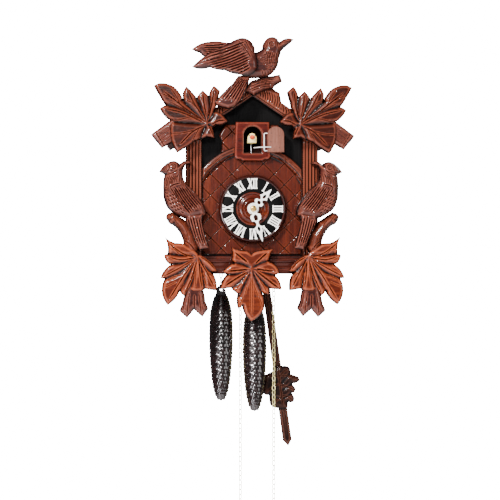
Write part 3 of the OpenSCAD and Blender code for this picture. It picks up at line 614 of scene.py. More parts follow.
UPPER_LEAF = [(113.5, 34.5, 0.02), (108, 37.2, 0.03), (100, 37, 0.04), (91, 33.4, 0.04), (85, 27, 0.03),
              (80.5, 19, 0.02),
              (80.8, 27, 0.02), (77.2, 34, 0.03), (70.5, 27.5, 0.02), (65.3, 21.5, 0.0), (63, 25, 0.02),
              (58.4, 29.8, 0.03),
              (55, 26.6, 0.0), (51.5, 23.5, 0.0), (49.5, 30, 0.02), (45.7, 35, 0.03), (38.5, 29, 0.02),
              (42, 17, 0.03),
              (44.5, 6, 0.02), (37, 3.4, 0.03), (29.6, -5.6, 0.03), (36, -9.4, 0.02), (43.5, -9.8, 0.0),
              (47, -14, 0.03),
              (45, -24.6, 0.02), (54, -23.4, 0.0), (61.2, -26, 0.02), (68, -28.4, 0.02), (75.6, -34.6, -0.02),
              (79.8, -37, 0.02), (87.2, -41.2, 0.02), (91, -35.4, 0.02), (93.8, -29, 0.02), (95.2, -22, 0.02),
              (95.6, -14, 0.02), (94, -5.2, 0.06), (102, 1, 0.05), (106.8, 8.8, 0.02), (100.4, 12.4, 0.02),
              (107, 23, 0.02)]
UPPER_CENTRE = (53.5, -8.5)
UPPER_VEINS = [[(56, -6), (80, 10), (104, 29)], [(57, -3), (68, 14), (75.5, 29)], [(54, 0), (57, 14), (58, 25)],
               [(51, 0), (48, 14), (46, 29)], [(48, -9), (40, -5), (33, -4.5)], [(51, -12), (48.5, -17), (47, -21)],
               [(57, -11), (70, -18), (85, -33)], [(58, -7), (80, 3), (100, 8)]]
UPPER_TWIGS = [[(74, 5), (84, 10), (96, 16)], [(84, 13), (89, 23), (95, 31)], [(90, 18), (98, 22), (105, 25)],
               [(68, -16), (80, -19), (94, -20)], [(64, 8), (71, 15), (78, 18)], [(72, -1), (84, -4), (93, -5)],
               [(62, -13), (66, -20), (70, -28)]]
UPPER_VALLEYS = [[UPPER_CENTRE, (68, 5), (81, 18)], [UPPER_CENTRE, (60, 8), (65, 20)],
                 [UPPER_CENTRE, (50, 10), (51, 21)],
                 [UPPER_CENTRE, (48, 0), (45, 7)], [UPPER_CENTRE, (48, -11), (45, -12)],
                 [UPPER_CENTRE, (58, -18), (61, -26)], [UPPER_CENTRE, (75, -8), (94, -6)],
                 [UPPER_CENTRE, (80, 7), (100, 13)]]
STUB = [(88, -2, 0), (93.6, -3.3, 0), (116.8, -20.5, 0.04), (110.5, -29, 0), (104.5, -36.3, 0), (93.3, -30.1, 0),
        (84, -26, 0)]


def make_upper_leaf(side, name, m):
    front = -lows("upper_left_leaf")[1]
    back = highs("upper_left_leaf")[1]
    thick = front + back
    rule = valleys(pillow(thick, 0.72, 3.4), UPPER_VALLEYS, 4.6, 2.6)
    cuts = [(line, 0.9, 1.9) for line in UPPER_VEINS] + [(line, 0.55, 1.2) for line in UPPER_TWIGS]
    carve(name, "case", m["leaf_shaded"], [arcs(UPPER_LEAF)], back, rule, cuts,
          replaces=[f"upper_{name.split('_')[1]}_leaf"], side=side)
    bark = [([(90, -8 - 3.6 * i), (112 - 1.7 * i, -21.5 - 3.4 * i)], 0.5, 0.8) for i in range(4)]
    rim = [([(112.5, -17.4), (101.5, -34.6)], 0.6, 1.6)]
    carve(name + "_branch", "case", m["bird"], [arcs(STUB)], back, pillow(7.5, 0.55, 4), bark + rim,
          side=side)


VINE = [(92, -108.5, 0.0), (97.2, -109.8, 0.25), (97.6, -118.5, 0.16), (92, -123.2, -0.02), (86.8, -128, -0.04),
        (81, -138.2, -0.02), (79.3, -146, 0.0), (76, -153.6, 0.1), (66, -155.5, 0.1), (62, -148, 0.0), (66, -132, 0),
        (76, -119, 0)]
LOWER_LEAF = [(62.4, -156.8, 0.02), (66, -153, 0.0), (79, -144.6, 0.02), (89.5, -143.6, -0.06), (101, -136.8, -0.08),
              (97.8, -156, 0.04), (101.6, -157.6, 0.14), (94.6, -168.6, 0.10), (105.8, -184, -0.04),
              (101.2, -184.7, 0.16), (97.9, -214.6, 0.08), (84, -199, 0.06), (78.6, -204.5, 0.0), (74, -197, 0.10),
              (58, -198.3, 0.06), (55, -196.2, 0.0), (42.2, -198.4, 0.10), (46.6, -177.6, 0.0), (41, -175.9, 0.06),
              (55.8, -160.2, 0.06)]
LOWER_CENTRE = (64, -158.5)
LOWER_VEINS = [[(68, -160), (82, -155), (98, -143)], [(69, -161), (83, -163), (96, -160)],
               [(69, -163), (82, -171), (103, -182)], [(68, -165), (80, -182), (97, -209)],
               [(65, -166), (70, -182), (78, -200)], [(62, -165), (61, -180), (59, -195)],
               [(61, -164), (53, -178), (45, -194)], [(60, -160), (51, -166), (44, -174)]]
LOWER_TWIGS = [[(88, -188), (94, -191), (101, -194)], [(84, -181), (90, -182), (98, -186)],
               [(80, -188), (81, -193), (84, -197)], [(60, -176), (56, -184), (54, -192)],
               [(66, -176), (66, -186), (67, -195)], [(85, -156), (90, -151), (93, -147)],
               [(52, -178), (48, -181), (46, -184)]]
LOWER_VALLEYS = [[LOWER_CENTRE, (80, -158), (97, -156)], [LOWER_CENTRE, (78, -166), (94, -168)],
                 [LOWER_CENTRE, (82, -176), (101, -185)], [LOWER_CENTRE, (75, -182), (84, -199)],
                 [LOWER_CENTRE, (68, -180), (73, -197)], [LOWER_CENTRE, (58, -180), (56, -196)],
                 [LOWER_CENTRE, (56, -170), (47, -178)]]
STUMP = [(75, -188, 0), (78, -198, 0), (79, -205, 0.02), (81, -214, 0.04), (84.2, -221.5, 0.0),
         (75.6, -229.4, 0), (67.5, -219.8, 0.0),
         (58, -228.4, 0), (51.2, -219, 0.04), (54.5, -211, 0.03), (56.8, -198, 0), (60, -188, 0)]


def make_vine(side, name, m):
    node = f"{name}_vine"
    back = highs(node)[1]
    thick = back - lows(node)[1]
    rule = valleys(pillow(thick, 0.70, 3.6), LOWER_VALLEYS, 4.6, 2.6)
    cuts = [(line, 0.9, 1.9) for line in LOWER_VEINS] + [(line, 0.55, 1.2) for line in LOWER_TWIGS]
    carve(f"{name}_lower_leaf", "case", m["leaf"], [arcs(LOWER_LEAF)], back, rule, cuts,
          replaces=[node], side=side)
    bark = [([(94, -112), (88, -120), (81, -130), (77, -144)], 0.5, 0.8),
            ([(91, -111), (84, -119), (77, -130), (73, -144)], 0.5, 0.8),
            ([(80, -141), (74, -144), (67, -152)], 0.8, 1.6)]
    carve(f"{name}_vine_branch", "case", m["leaf_shaded"], [arcs(VINE)], back,
          pillow(thick + 1.2, 0.3, 8), bark,
          side=side)
    flutes = [([(77, -201), (79, -212), (80.5, -221)], 0.7, 1.3), ([(73, -201), (74.5, -212), (76, -226)], 0.7, 1.3),
              ([(67.5, -203), (67.5, -218)], 0.9, 2.0), ([(62.5, -201), (61, -212), (59.5, -225)], 0.7, 1.3),
              ([(58.5, -201), (57, -211), (54.5, -219)], 0.7, 1.3),
              ([(84.5, -219.5), (75.6, -227.2), (68, -219)], 0.5, 1.2),
              ([(67, -219), (58, -226.2), (51, -217)], 0.5, 1.2)]
    carve(f"{name}_stump", "case", m["bird"], [arcs(STUMP)], back, pillow(thick - 2.2, 0.45, 6), flutes,
          side=side)


CENTRE_LEAF = [(-2.5, -155.8, 0.06), (5, -152.6, 0.03), (22.8, -150.6, -0.04), (18, -163.6, -0.03),
               (19.5, -165.6, 0.14),
               (30.2, -178.4, -0.02), (25.4, -181, 0.10), (32.6, -197.2, 0.02), (18.7, -195.8, 0.0),
               (17.8, -203, 0.03), (10.4, -201, 0.06), (12.3, -219, 0.10), (-2.4, -233.6, 0.10), (-12.4, -215.5, 0.0),
               (-17, -218.9, 0.08), (-17.6, -201.8, 0.08), (-25, -195, 0.0), (-38.1, -196.5, 0.08),
               (-30.6, -180.2, 0.0), (-35, -176.4, 0.10), (-23.2, -167, -0.02), (-25, -163.5, -0.04),
               (-25, -148.8, -0.04), (-8, -152.4, 0.04)]
CENTRE = (-2.4, -173)
CENTRE_VEINS = [[(-7, -166), (-21.5, -154.5)], [(2.5, -167), (15.5, -155)],
                [(-7, -174), (-20, -175.3), (-29.5, -176)],
                [(-7, -177), (-19, -184), (-33, -193)], [(3.5, -173.5), (13, -175), (23.5, -176)],
                [(3.5, -176), (15, -185), (29, -195.5)]]
CENTRE_TWIGS = [[(-7, -192), (-8.6, -197), (-10, -203)], [(0, -191), (2.6, -198), (5.5, -206)],
                [(-14, -190), (-18, -194), (-21, -199)], [(8, -188), (12, -194), (15, -200)],
                [(-12, -206), (-15, -211), (-16, -215)], [(6, -205), (8.6, -211), (9.8, -217)],
                [(-3.4, -184), (-3.5, -205), (-3.1, -228)], [(-1.4, -184), (-1.3, -205), (-1.7, -228)]]
CENTRE_VALLEYS = [[CENTRE, (-13, -168), (-23, -166)], [CENTRE, (8, -167), (18, -164)],
                  [CENTRE, (-18, -179), (-30, -180)],
                  [CENTRE, (14, -178), (25, -181)], [CENTRE, (-15, -188), (-24, -195)],
                  [CENTRE, (10, -187), (18, -195)], [CENTRE, (-10, -190), (-16, -204)],
                  [CENTRE, (5, -190), (10, -202)]]


def make_centre_leaf(m):
    back = highs("center_leaf")[1]
    thick = back - lows("center_leaf")[1]
    rule = valleys(pillow(thick, 0.70, 3.6), CENTRE_VALLEYS, 4.4, 2.4)
    cuts = [(line, 1.3, 2.6) for line in CENTRE_VEINS] + [(line, 0.5, 1.0) for line in CENTRE_TWIGS]
    carve("center_leaf_carving", "case", m["leaf"], [arcs(CENTRE_LEAF)], back, rule, cuts,
          replaces=["center_leaf"])


def rows(starts, ends, count, width, depth, bow=0.0, jitter=0.0):
    """A fan of gouges between two smooth lines: from points along starts to points along ends."""
    a, b = curve(starts, 0.2), curve(ends, 0.2)
    made = []
    for i in range(count):
        t = i / (count - 1)
        p, q = a[int(t * (len(a) - 1))], b[int(t * (len(b) - 1))]
        p = p + (q - p) * random.uniform(0, jitter)
        q = q - (q - p) * random.uniform(0, jitter)
        across = np.array([p[1] - q[1], q[0] - p[0]])
        made.append(([tuple(p), tuple((p + q) / 2 + across * bow), tuple(q)], width, depth))
    return made


def scales(at, along, across, counts, size, width, depth):
    """Curved chisel marks like breast feathers, in a slanted grid from a corner point."""
    along, across = np.array(along, float), np.array(across, float)
    made = []
    for i in range(counts[0]):
        for j in range(counts[1]):
            c = np.array(at, float) + along * (i + 0.5 * (j % 2)) + across * j
            u = along / np.linalg.norm(along)
            v = across / np.linalg.norm(across)
            made.append(([tuple(c - v * size - u * size * 0.4), tuple(c + u * size * 0.5),
                          tuple(c + v * size - u * size * 0.4)], width, depth))
    return made


def ring(at, radius, part=1.0, start=0.0):
    """A ring of points about a centre, or a part of it."""
    return [(at[0] + radius * math.cos(a), at[1] + radius * math.sin(a))
            for a in start + np.linspace(0, 2 * math.pi * part, 17)]


TOP_BODY = [(45.6, 88.3, 0.08), (35.5, 89.2, 0.03), (28.9, 85.2, -0.05), (26.6, 88.6, 0.10), (20, 90.9, 0.12),
            (12, 86, 0.10), (9.2, 77.6, -0.10), (1, 72.8, 0.0), (-10, 70, 0), (-16, 52, 0.0), (-9, 44, 0.05),
            (12, 45, 0.10), (22.4, 51, 0.10), (28.2, 66, 0.04), (30.6, 74, -0.02), (34.5, 78.5, 0.03)]
TOP_TAIL = [(-4.6, 46.5, 0.02), (-7.4, 35, 0.05), (-14.5, 18.4, 0.0), (-21.5, 11, 0.03), (-30, 8, 0.04),
            (-43.6, 12.4, 0.0),
            (-45.4, 15.6, 0.02), (-33.6, 28.4, 0.02), (-25, 37, 0.0), (-18.5, 46, 0.0)]
NEAR_WING = [(-0.4, 72.5, 0.12), (-2.5, 81, 0.10), (-10, 87.2, 0.10), (-20.6, 86.4, 0.04), (-28, 82.6, 0.0),
             (-55, 68.4, 0.0), (-62.5, 62.8, 0.0), (-71.6, 54.4, 0.10), (-51, 54, 0.05), (-34, 51, 0.06),
             (-17, 46.4, 0.06), (-8, 45, 0.12), (2.6, 54, 0.06)]
FAR_WING = [(-16, 84, 0.0), (-33, 85.2, 0.04), (-46, 86, 0.05), (-62, 82.6, 0.02), (-70.6, 76.8, 0.06),
            (-61.5, 73, 0.04),
            (-54.5, 67.5, 0.0), (-30, 64, 0)]
EYE = (19.2, 81.8)


def make_top_bird(m):
    front, back = lows("top_bird")[1], highs("top_bird")[1]
    cuts = [(ring(EYE, 2.5), 0.7, 1.5), (ring(EYE, 0.9), 0.6, 0.8)]
    cuts += [([(29, 84), (36, 84.6), (42.5, 86.8)], 0.5, 1.2), ([(27.6, 85), (26, 80), (29.5, 74)], 0.6, 1.2)]
    cuts += [(ring(EYE, r, 0.36, 1.7), 0.55, 1.1) for r in (4.6, 6.4, 8.0)]
    cuts += rows([(12, 76), (20, 73), (27.5, 72)], [(15, 60), (20, 57), (26, 60)], 7, 0.7, 1.5, 0.08, 0.12)
    cuts += scales((5, 66), (3.1, -3.2), (3.6, 2.2), (5, 4), 1.6, 0.6, 1.2)
    cuts += rows([(8, 52), (15, 51), (22, 55)], [(10, 46), (16, 46.4), (21, 50)], 5, 0.6, 1.2)
    carve("top_bird_body", "case", m["bird"], [arcs(TOP_BODY)], back, pillow(back - front, 0.45, 8, 2.2),
                 cuts, step=0.7, replaces=["top_bird"], rear=lambda p, e: 3 * (1 - np.clip(e / 7, 0, 1)) ** 2)
    tail = rows([(-5.6, 41), (-17, 46)], [(-17, 14.6), (-43, 17)], 8, 1.05, 2.2, 0.0, 0.05)
    tail += [([(-18, 43.4), (-13, 40), (-7.5, 40.4)], 0.8, 1.6)]
    carve("top_bird_tail", "case", m["bird"], [arcs(TOP_TAIL)], lows("top_branch")[1] - 0.2,
          pillow(7.4, 0.35, 4.5), tail, step=0.7)
    near_front, far_back = lows("top_bird_wings")[1], highs("top_bird_wings")[1]
    wing = rows([(-9, 84), (-6, 70), (-4, 55)], [(-57, 68.5), (-62, 56.5), (-19, 47.8)], 11, 1.25, 2.3, 0.03, 0.16)
    wing += [([(-12, 86), (-7, 76), (-1, 68)], 0.7, 1.3), ([(-20, 85), (-12, 76), (-4, 64)], 0.7, 1.3)]
    wing += rows([(-34, 73), (-26, 55)], [(-66, 60), (-44, 54)], 6, 0.7, 1.5, 0.0, 0.2)
    carve("top_bird_near_wing", "case", m["bird"], [arcs(NEAR_WING)], front,
          pillow(front - near_front, 0.4, 7),
          wing, step=0.7, replaces=["top_bird_wings"])
    far = rows([(-26, 83), (-30, 67)], [(-62, 80), (-57, 70)], 6, 1.0, 1.9, 0.02, 0.2)
    carve("top_bird_far_wing", "case", m["bird"], [arcs(FAR_WING)], far_back, pillow(5.6, 0.4, 4),
          far, step=0.7)


BRANCH = [(-12, 30, 0), (-4, 40.5, 0.03), (12, 45.6, 0.03), (22.5, 47.4, 0), (30.2, 49.2, 0.0), (33, 41, 0.0),
          (25.4, 36.2, -0.06), (22.6, 33, 0.0), (12, 30, 0), (0, 24, 0)]


def make_branch(m):
    back, front = highs("top_branch")[1], lows("top_branch")[1]
    bark = rows([(-8, 28), (-2, 40)], [(24, 36), (29, 47.5)], 7, 0.7, 1.5, 0.05, 0.2)
    bark += [([(28.2, 49), (30.8, 40)], 0.6, 1.6), ([(12, 33), (15, 44)], 0.6, 1.2)]
    carve("top_branch_carving", "case", m["bird"], [arcs(BRANCH)], back, pillow(back - front, 0.4, 6), bark,
          replaces=["top_branch"])


GABLE = [(-1.5, 24.6, 0), (2, 23.4, 0), (30, 4.6, 0), (60, -15.6, 0), (65, -11, 0), (61, -2, 0.01), (33, 17.6, 0),
         (31, 28.4, 0.0), (23.5, 33.4, 0.0), (10, 37.4, 0.02), (-1.5, 38.2, 0)]


def make_gable(m):
    back, front = highs("gable_trim")[1], lows("gable_trim")[1]
    for side, name in ((1, "right"), (-1, "left")):
        bark = rows([(0, 36), (31, 25)], [(4, 26), (29, 9)], 11, 0.9, 1.7, 0.10, 0.12)
        bark += rows([(34, 15), (60, -3)], [(35, 5), (60, -11)], 9, 0.9, 1.6, 0.1, 0.12)
        bark += [([(1, 26.6), (30, 7.4), (60, -12.6)], 0.7, 1.8)]
        carve(f"gable_bark_{name}", "case", m["case_cross"], [arcs(GABLE)], back,
              pillow(back - front, 0.55, 5), bark, side=side, step=0.9, replaces=["gable_trim"] if side > 0 else ())


SIDE_BIRD = [(107.6, -62.8, 0.05), (98.9, -53.2, 0.06), (91, -50.3, 0.08), (84.4, -53.7, -0.06), (81, -51.2, 0.08),
             (76, -50.3, 0.06), (70.8, -51.8, 0.0), (72.5, -53.2, -0.05), (78.3, -56, -0.08), (80.4, -63, -0.04),
             (80, -70.5, -0.06), (77.5, -74.5, 0.0), (74.5, -78.6, 0.04), (61.5, -93, 0.04), (55, -104, 0.06),
             (54.5, -112, 0.08), (61, -114.5, 0.0), (74, -117.5, 0), (82, -114.5, 0.03), (94.3, -107.3, 0.08),
             (100.4, -98, 0.06), (102.6, -84, 0.04), (101.3, -66, -0.06)]
BIRD_TAIL = [(76.5, -111, 0), (58, -110, 0.02), (59.4, -120, 0.0), (51, -149.6, 0.05), (62, -151.6, 0.02),
             (69.5, -136, 0.0),
             (77.5, -119, 0)]
SIDE_EYE = (91.8, -57.2)


def make_side_bird(side, name, m):
    node = f"{name}_bird"
    shift = (highs(node)[0] if side > 0 else -lows(node)[0]) - 107.9
    front, back = lows(node)[1], highs(node)[1]

    def at(points):
        return [(p[0] + shift, *p[1:]) for p in points]

    def cut(made):
        return [(at(line), width, depth) for line, width, depth in made]

    cuts = [(ring(SIDE_EYE, 2.7), 0.7, 1.5), (ring(SIDE_EYE, 1.0), 0.6, 0.9)]
    cuts += [([(97.4, -53.8), (96.4, -59), (99, -63.4)], 0.8, 1.7),
             ([(86.5, -60.5), (92, -64.2), (100.5, -66.8)], 0.7, 1.4)]
    cuts += [([(84.6, -55.4), (80.5, -53), (74.5, -52.2)], 0.5, 1.2)]
    cuts += rows([(98.4, -55.5), (98.6, -63)], [(105, -60.5), (105.8, -62.8)], 5, 0.4, 0.9)
    cuts += rows([(100.4, -68.5), (86, -66)], [(101, -83), (91, -76)], 7, 0.65, 1.5, 0.10, 0.1)
    cuts += rows([(85, -64), (81.5, -71)], [(88.5, -75), (78, -76.4)], 4, 0.6, 1.3, 0.05)
    cuts += scales((99.4, -87), (-1.6, -4.1), (-3.7, -1.2), (5, 4), 1.5, 0.75, 1.8)
    cuts += [([(95.6, -80.6), (90.5, -77.6), (84, -76.2)], 0.9, 1.9),
             ([(95.6, -80.6), (88, -92), (76, -108)], 0.8, 2.0)]
    cuts += rows([(93, -80.5), (79, -77.5)], [(72, -112), (57, -105)], 7, 1.15, 2.4, 0.02, 0.14)
    cuts += rows([(78, -78), (72, -82)], [(64, -96), (61, -95.5)], 3, 0.6, 1.3, 0.02, 0.1)
    loops = [arcs(at(SIDE_BIRD), 1.0)]
    carve(f"{name}_bird_body", "case", m["bird"], loops, back, pillow(back - front, 0.58, 8, 2.2),
          cut(cuts),
          step=0.7, replaces=[node], side=side)
    feathers = cut(rows([(76, -114), (60, -113)], [(64, -149), (52.6, -147)], 6, 1.0, 2.1, 0.02, 0.1))
    carve(f"{name}_bird_tail", "case", m["bird"], [arcs(at(BIRD_TAIL))], lows("left_vine")[1] - 0.2,
          pillow(5.6, 0.35, 4.5), feathers, step=0.7, side=side)


# Case front -------------------------------------------------------------------------------------

DIAL = (0.0, -104.5)
ARCH_R = 74.0
FIELD_R = 66.0
SUNK = 2.6


def arc_points(radius, start, end, count):
    """Points of an arc about the dial's centre, between two angles in degrees."""
    return [(DIAL[0] + radius * math.cos(math.radians(a)), DIAL[1] + radius * math.sin(math.radians(a)))
            for a in np.linspace(start, end, count)]


HOLE = (10.25, -40.3, -9.6)


def opening(half, low, top):
    """The outline of a hole with straight sides and a round top."""
    spring = top - half
    arch = [(half * math.cos(a), spring + half * math.sin(a)) for a in np.linspace(0, math.pi, 25)]
    return np.array([(-half, low), (half, low), *arch])


def make_front_plate(m):
    low, high = lows("front_plate"), highs("front_plate")
    half, ledge = high[0] if high[0] < 60 else 58.0, low[2] + 1.3
    turn = math.degrees(math.acos(half / ARCH_R))
    right = arc_points(ARCH_R, turn, 62, 18) + [(37.4, -41.5), (35.4, -36), (35.2, -26), (38.6, -20), (34, -12),
                                                (30, -7.2)]
    outline = [(half, ledge), *right, *[(-x, z) for x, z in right[::-1]], (-half, ledge)]
    loops = [np.array(outline), opening(*HOLE)]
    lattice = []
    pitch, reach, knot = 17.3, 130, (1.2, -113.3)
    u = math.sqrt(0.5)
    for slant in (1, -1):
        for i in range(-5, 6):
            at = (knot[0] + i * pitch * u, knot[1] - slant * i * pitch * u)
            lattice.append(([(at[0] - reach * u, at[1] - slant * reach * u),
                             (at[0] + reach * u, at[1] + slant * reach * u)],
                            0.8, 1.4))
    thick = high[1] - low[1]

    def height(p, edge):
        r = np.hypot(p[:, 0] - DIAL[0], np.maximum(p[:, 1] - DIAL[1], 0))
        hub = np.hypot(p[:, 0] - DIAL[0], p[:, 1] - DIAL[1])
        sunk = np.clip((FIELD_R - r) / 2.2, 0, 1) * np.clip((hub - 36) / 1.0, 0, 1)
        rim = 0.7 * np.clip(1 - np.abs(r - 70.4) / 3.2, 0, 1) ** 0.5 * (r > 66.5) * (np.abs(p[:, 0]) > 34)
        round_edge = 1.2 * (1 - np.clip(edge / 2.2, 0, 1)) ** 2
        return thick - 0.7 - SUNK * sunk + rim - round_edge

    carve("front_plate_carving", "case", m["plate"], loops, high[1], height, lattice, step=1.1,
          replaces=["front_plate"])


def make_rim(m):
    """The raised, rolled edge of the arch with its scratches, on each side of the tower."""
    front = lows("front_plate")[1]
    for side, name in ((1, "right"), (-1, "left")):
        inner = arc_points(66.4, 74, 33, 18)
        outer = arc_points(73.8, 39.2, 74, 18)
        line = [*inner, (58, -72), (58, -58.6), *outer[1:]]
        cuts = rows([(36, -48), (35, -43)], [(56, -68), (57, -60)], 3, 0.45, 0.9, -0.05, 0.05)
        carve(f"arch_rim_{name}", "case", m["rim"], [np.array(line)], front + 0.4,
              pillow(2.4, 0.3, 2.6), cuts, step=0.8, side=side)


def make_posts(m):
    """Fluted posts with rolled flutes and a plain foot."""
    low, high = lows("front_posts"), highs("front_posts")
    half, inner = high[0], 58.0
    slope = math.tan(math.radians(34))
    for side, name in ((1, "right"), (-1, "left")):
        line = [(inner, low[2]), (half, low[2]), (half, 29 - half * slope), (inner, 29 - inner * slope)]
        flutes = [([(inner + t * (half - inner), low[2] + 5), (inner + t * (half - inner), -16)], w, d)
                  for t, w, d in ((0.2, 1.3, 1.9), (0.4, 1.3, 1.9), (0.6, 1.3, 1.9), (0.8, 1.3, 1.9))]
        carve(f"fluted_post_{name}", "case", m["case"], [arcs(line, 3)], high[1],
              pillow(high[1] - low[1], 0.8, 2.4), flutes, step=1.4, side=side,
              replaces=["front_posts"] if side > 0 else ())


def make_ledge(m):
    """The moulded ledge under the arch."""
    low, high = lows("base_ledge"), highs("base_ledge")
    profile = [(high[1], low[2]), (low[1] + 0.6, low[2]), (low[1], low[2] + 0.8), (low[1], low[2] + 6),
               (low[1] + 0.7, low[2] + 7.6),
               (low[1] + 2.4, low[2] + 8.6), (low[1] + 3.0, low[2] + 10), (low[1] + 2.6, low[2] + 12.4),
               (low[1] + 1.3, low[2] + 13.6), (low[1] + 0.9, low[2] + 15), (low[1] + 1.2, high[2] - 3.4),
               (low[1] + 2.2, high[2] - 2.6), (low[1] + 2.4, high[2] - 0.6), (low[1] + 3, high[2]),
               (high[1], high[2])]
    xs = np.linspace(low[0], high[0], 60)
    vertices, faces = stacked([[(x, y, z) for y, z in profile] for x in xs])
    new_object("ledge_moulding", vertices, faces, m["case_cross"], "case", ["base_ledge"], 30)


def make_surround(m):
    low, high = lows("door_surround"), highs("door_surround")
    line = [(-19.6, -4.6, 0), (19.6, -4.6, 0), (20.4, -28, 0), (21, -44, 0.12), (17.6, -47.4, -0.12),
            (11.5, -49.2, 0),
            (-11.5, -49.2, -0.12), (-17.6, -47.4, 0.12), (-21, -44, 0), (-20.4, -28, 0)]
    carve("surround_plate", "case", m["surround"], [arcs(line), opening(*HOLE)], high[1],
          pillow(high[1] - low[1], 0.72, 1.3), step=1.2, replaces=["door_surround"])
    wire = [(x, low[1] + 0.1, z) for x, z in opening(HOLE[0] + 0.5, HOLE[1] - 0.4, HOLE[2] + 0.4)]
    vertices, faces = tube(wire, 0.3, 6, closed=True)
    new_object("opening_edge", vertices, faces, m["door"], "case")


# Dial and hands ---------------------------------------------------------------------------------


def on_dial(vertices, y):
    """Points of a turned shape set on the dial's axis, with its z running forward from y."""
    return np.column_stack([vertices[:, 0] + DIAL[0], y - vertices[:, 2], vertices[:, 1] + DIAL[1]])


def ring_piece(name, profile, y, material, body, replaces=()):
    """A turned ring on the dial's axis from points (radius, depth in front of y)."""
    vertices, faces = annulus(profile)
    new_object(name, on_dial(vertices, y), faces, material, body, replaces, 30)


def make_dial(m):
    y = highs("dial")[1]
    rim = [(35.2, 0), (38.6, 0), (39, 0.6), (39, 3.4), (38.5, 4.2), (38.0, 5.6), (37.2, 6.7), (36.4, 7.0),
           (35.6, 6.6),
           (35.3, 5.8), (35.2, 5.2)]
    ring_piece("dial_rim", rim, y, m["dial_rim"], "case", ["dial"])
    chapter = [(19.0, 0), (35.3, 0), (35.3, 4.9), (34.9, 5.1), (19.6, 5.1), (19.0, 4.9)]
    ring_piece("chapter_ring", chapter, y, m["black"], "case")
    centre = [(4, 0), (19.1, 0), (19.3, 5.4), (18.9, 6.1), (18.1, 6.5), (17.2, 6.2), (16.8, 5.4), (16.3, 5.0),
              (14.4, 5.2),
              (13.6, 5.7), (12.9, 5.9), (12.3, 5.5), (11.9, 4.9), (11.2, 4.9), (10.6, 5.6), (9.8, 5.9), (9.0, 5.6),
              (8.4, 4.9), (7.2, 4.8), (4, 4.8)]
    ring_piece("dial_centre", centre, y, m["dial_turned"], "case")


def plate_shape(name, loops, front, thick, material, body, replaces=(), bevel=0.35, at=DIAL, turn=0.0):
    """A flat piece with bevelled front edges, from outlines about a centre, turned clockwise."""
    c, s = math.cos(math.radians(turn)), math.sin(math.radians(turn))
    placed = [np.array([(at[0] + p[0] * c + p[1] * s, at[1] - p[0] * s + p[1] * c) for p in loop]) for loop in loops]

    def height(p, edge):
        return thick - bevel * (1 - np.clip(edge / max(bevel, 0.05), 0, 1))

    return carve(name, body, material, placed, front + thick, height, step=0.7, replaces=replaces)


def stroke(lean, width, x, low=22.9, high=34.9, serif=0.75):
    """The outline of one stroke of a numeral, with a serif at each end, leaning by an angle."""
    middle = (low + high) / 2
    slope = math.tan(math.radians(lean))
    half = width / 2

    def across(z, w):
        c = x - (z - middle) * slope
        return (c - w, z), (c + w, z)

    a, b = across(low, half + serif)
    c, d = across(low + 0.75, half + serif * 0.8)
    e, f = across(low + 1.7, half)
    g, h = across(high - 1.7, half)
    i, j = across(high - 0.75, half + serif * 0.8)
    k, l = across(high, half + serif)
    return np.array([a, b, d, f, h, j, l, k, i, g, e, c])


STROKES = {"I": [(0.0, 0, 1.5)], "V": [(-1.4, 12, 2.0), (1.4, -12, 1.1)], "X": [(0, 21, 2.1), (0, -21, 1.1)]}
ADVANCE = {"I": 2.75, "V": 5.0, "X": 5.3}
MINUTE_AT = 164
HOUR_AT = 43.6
HOURS = ["I", "II", "III", "IIII", "V", "VI", "VII", "VIII", "IX", "X", "XI", "XII"]


def make_numerals(m):
    """White numerals with their feet towards the centre, each letter on its own strokes."""
    low, high = lows("numerals")[1], highs("numerals")[1]
    parts = []
    for hour, letters in enumerate(HOURS, 1):
        width = sum(ADVANCE[c] for c in letters)
        x = -width / 2
        turn = -math.radians(30 * hour)
        for order, letter in enumerate(letters):
            x += ADVANCE[letter] / 2
            for number, (dx, lean, w) in enumerate(STROKES[letter]):
                outline = stroke(lean, w, x + dx)
                raised = 0.06 * number + 0.03 * (order % 2)
                parts.append(bar_of(outline, turn, low - raised + 0.1, high - 0.05))
            x += ADVANCE[letter] / 2
    vertices, faces = joined(parts)
    new_object("dial_numerals", vertices, faces, m["bone"], "case", ["numerals"], 25)


def bar_of(outline, turn, front, back):
    """A flat stroke of a numeral with bevelled edges, turned about the dial's centre."""
    c, s = math.cos(turn), math.sin(turn)
    centre = outline.mean(0)
    inner = centre + (outline - centre) * np.array([0.86, 0.975])
    rings = [(outline, back), (outline, front + 0.25), (inner, front)]
    return stacked([[(DIAL[0] + x * c - z * s, y, DIAL[1] + x * s + z * c) for x, z in loop] for loop, y in rings])


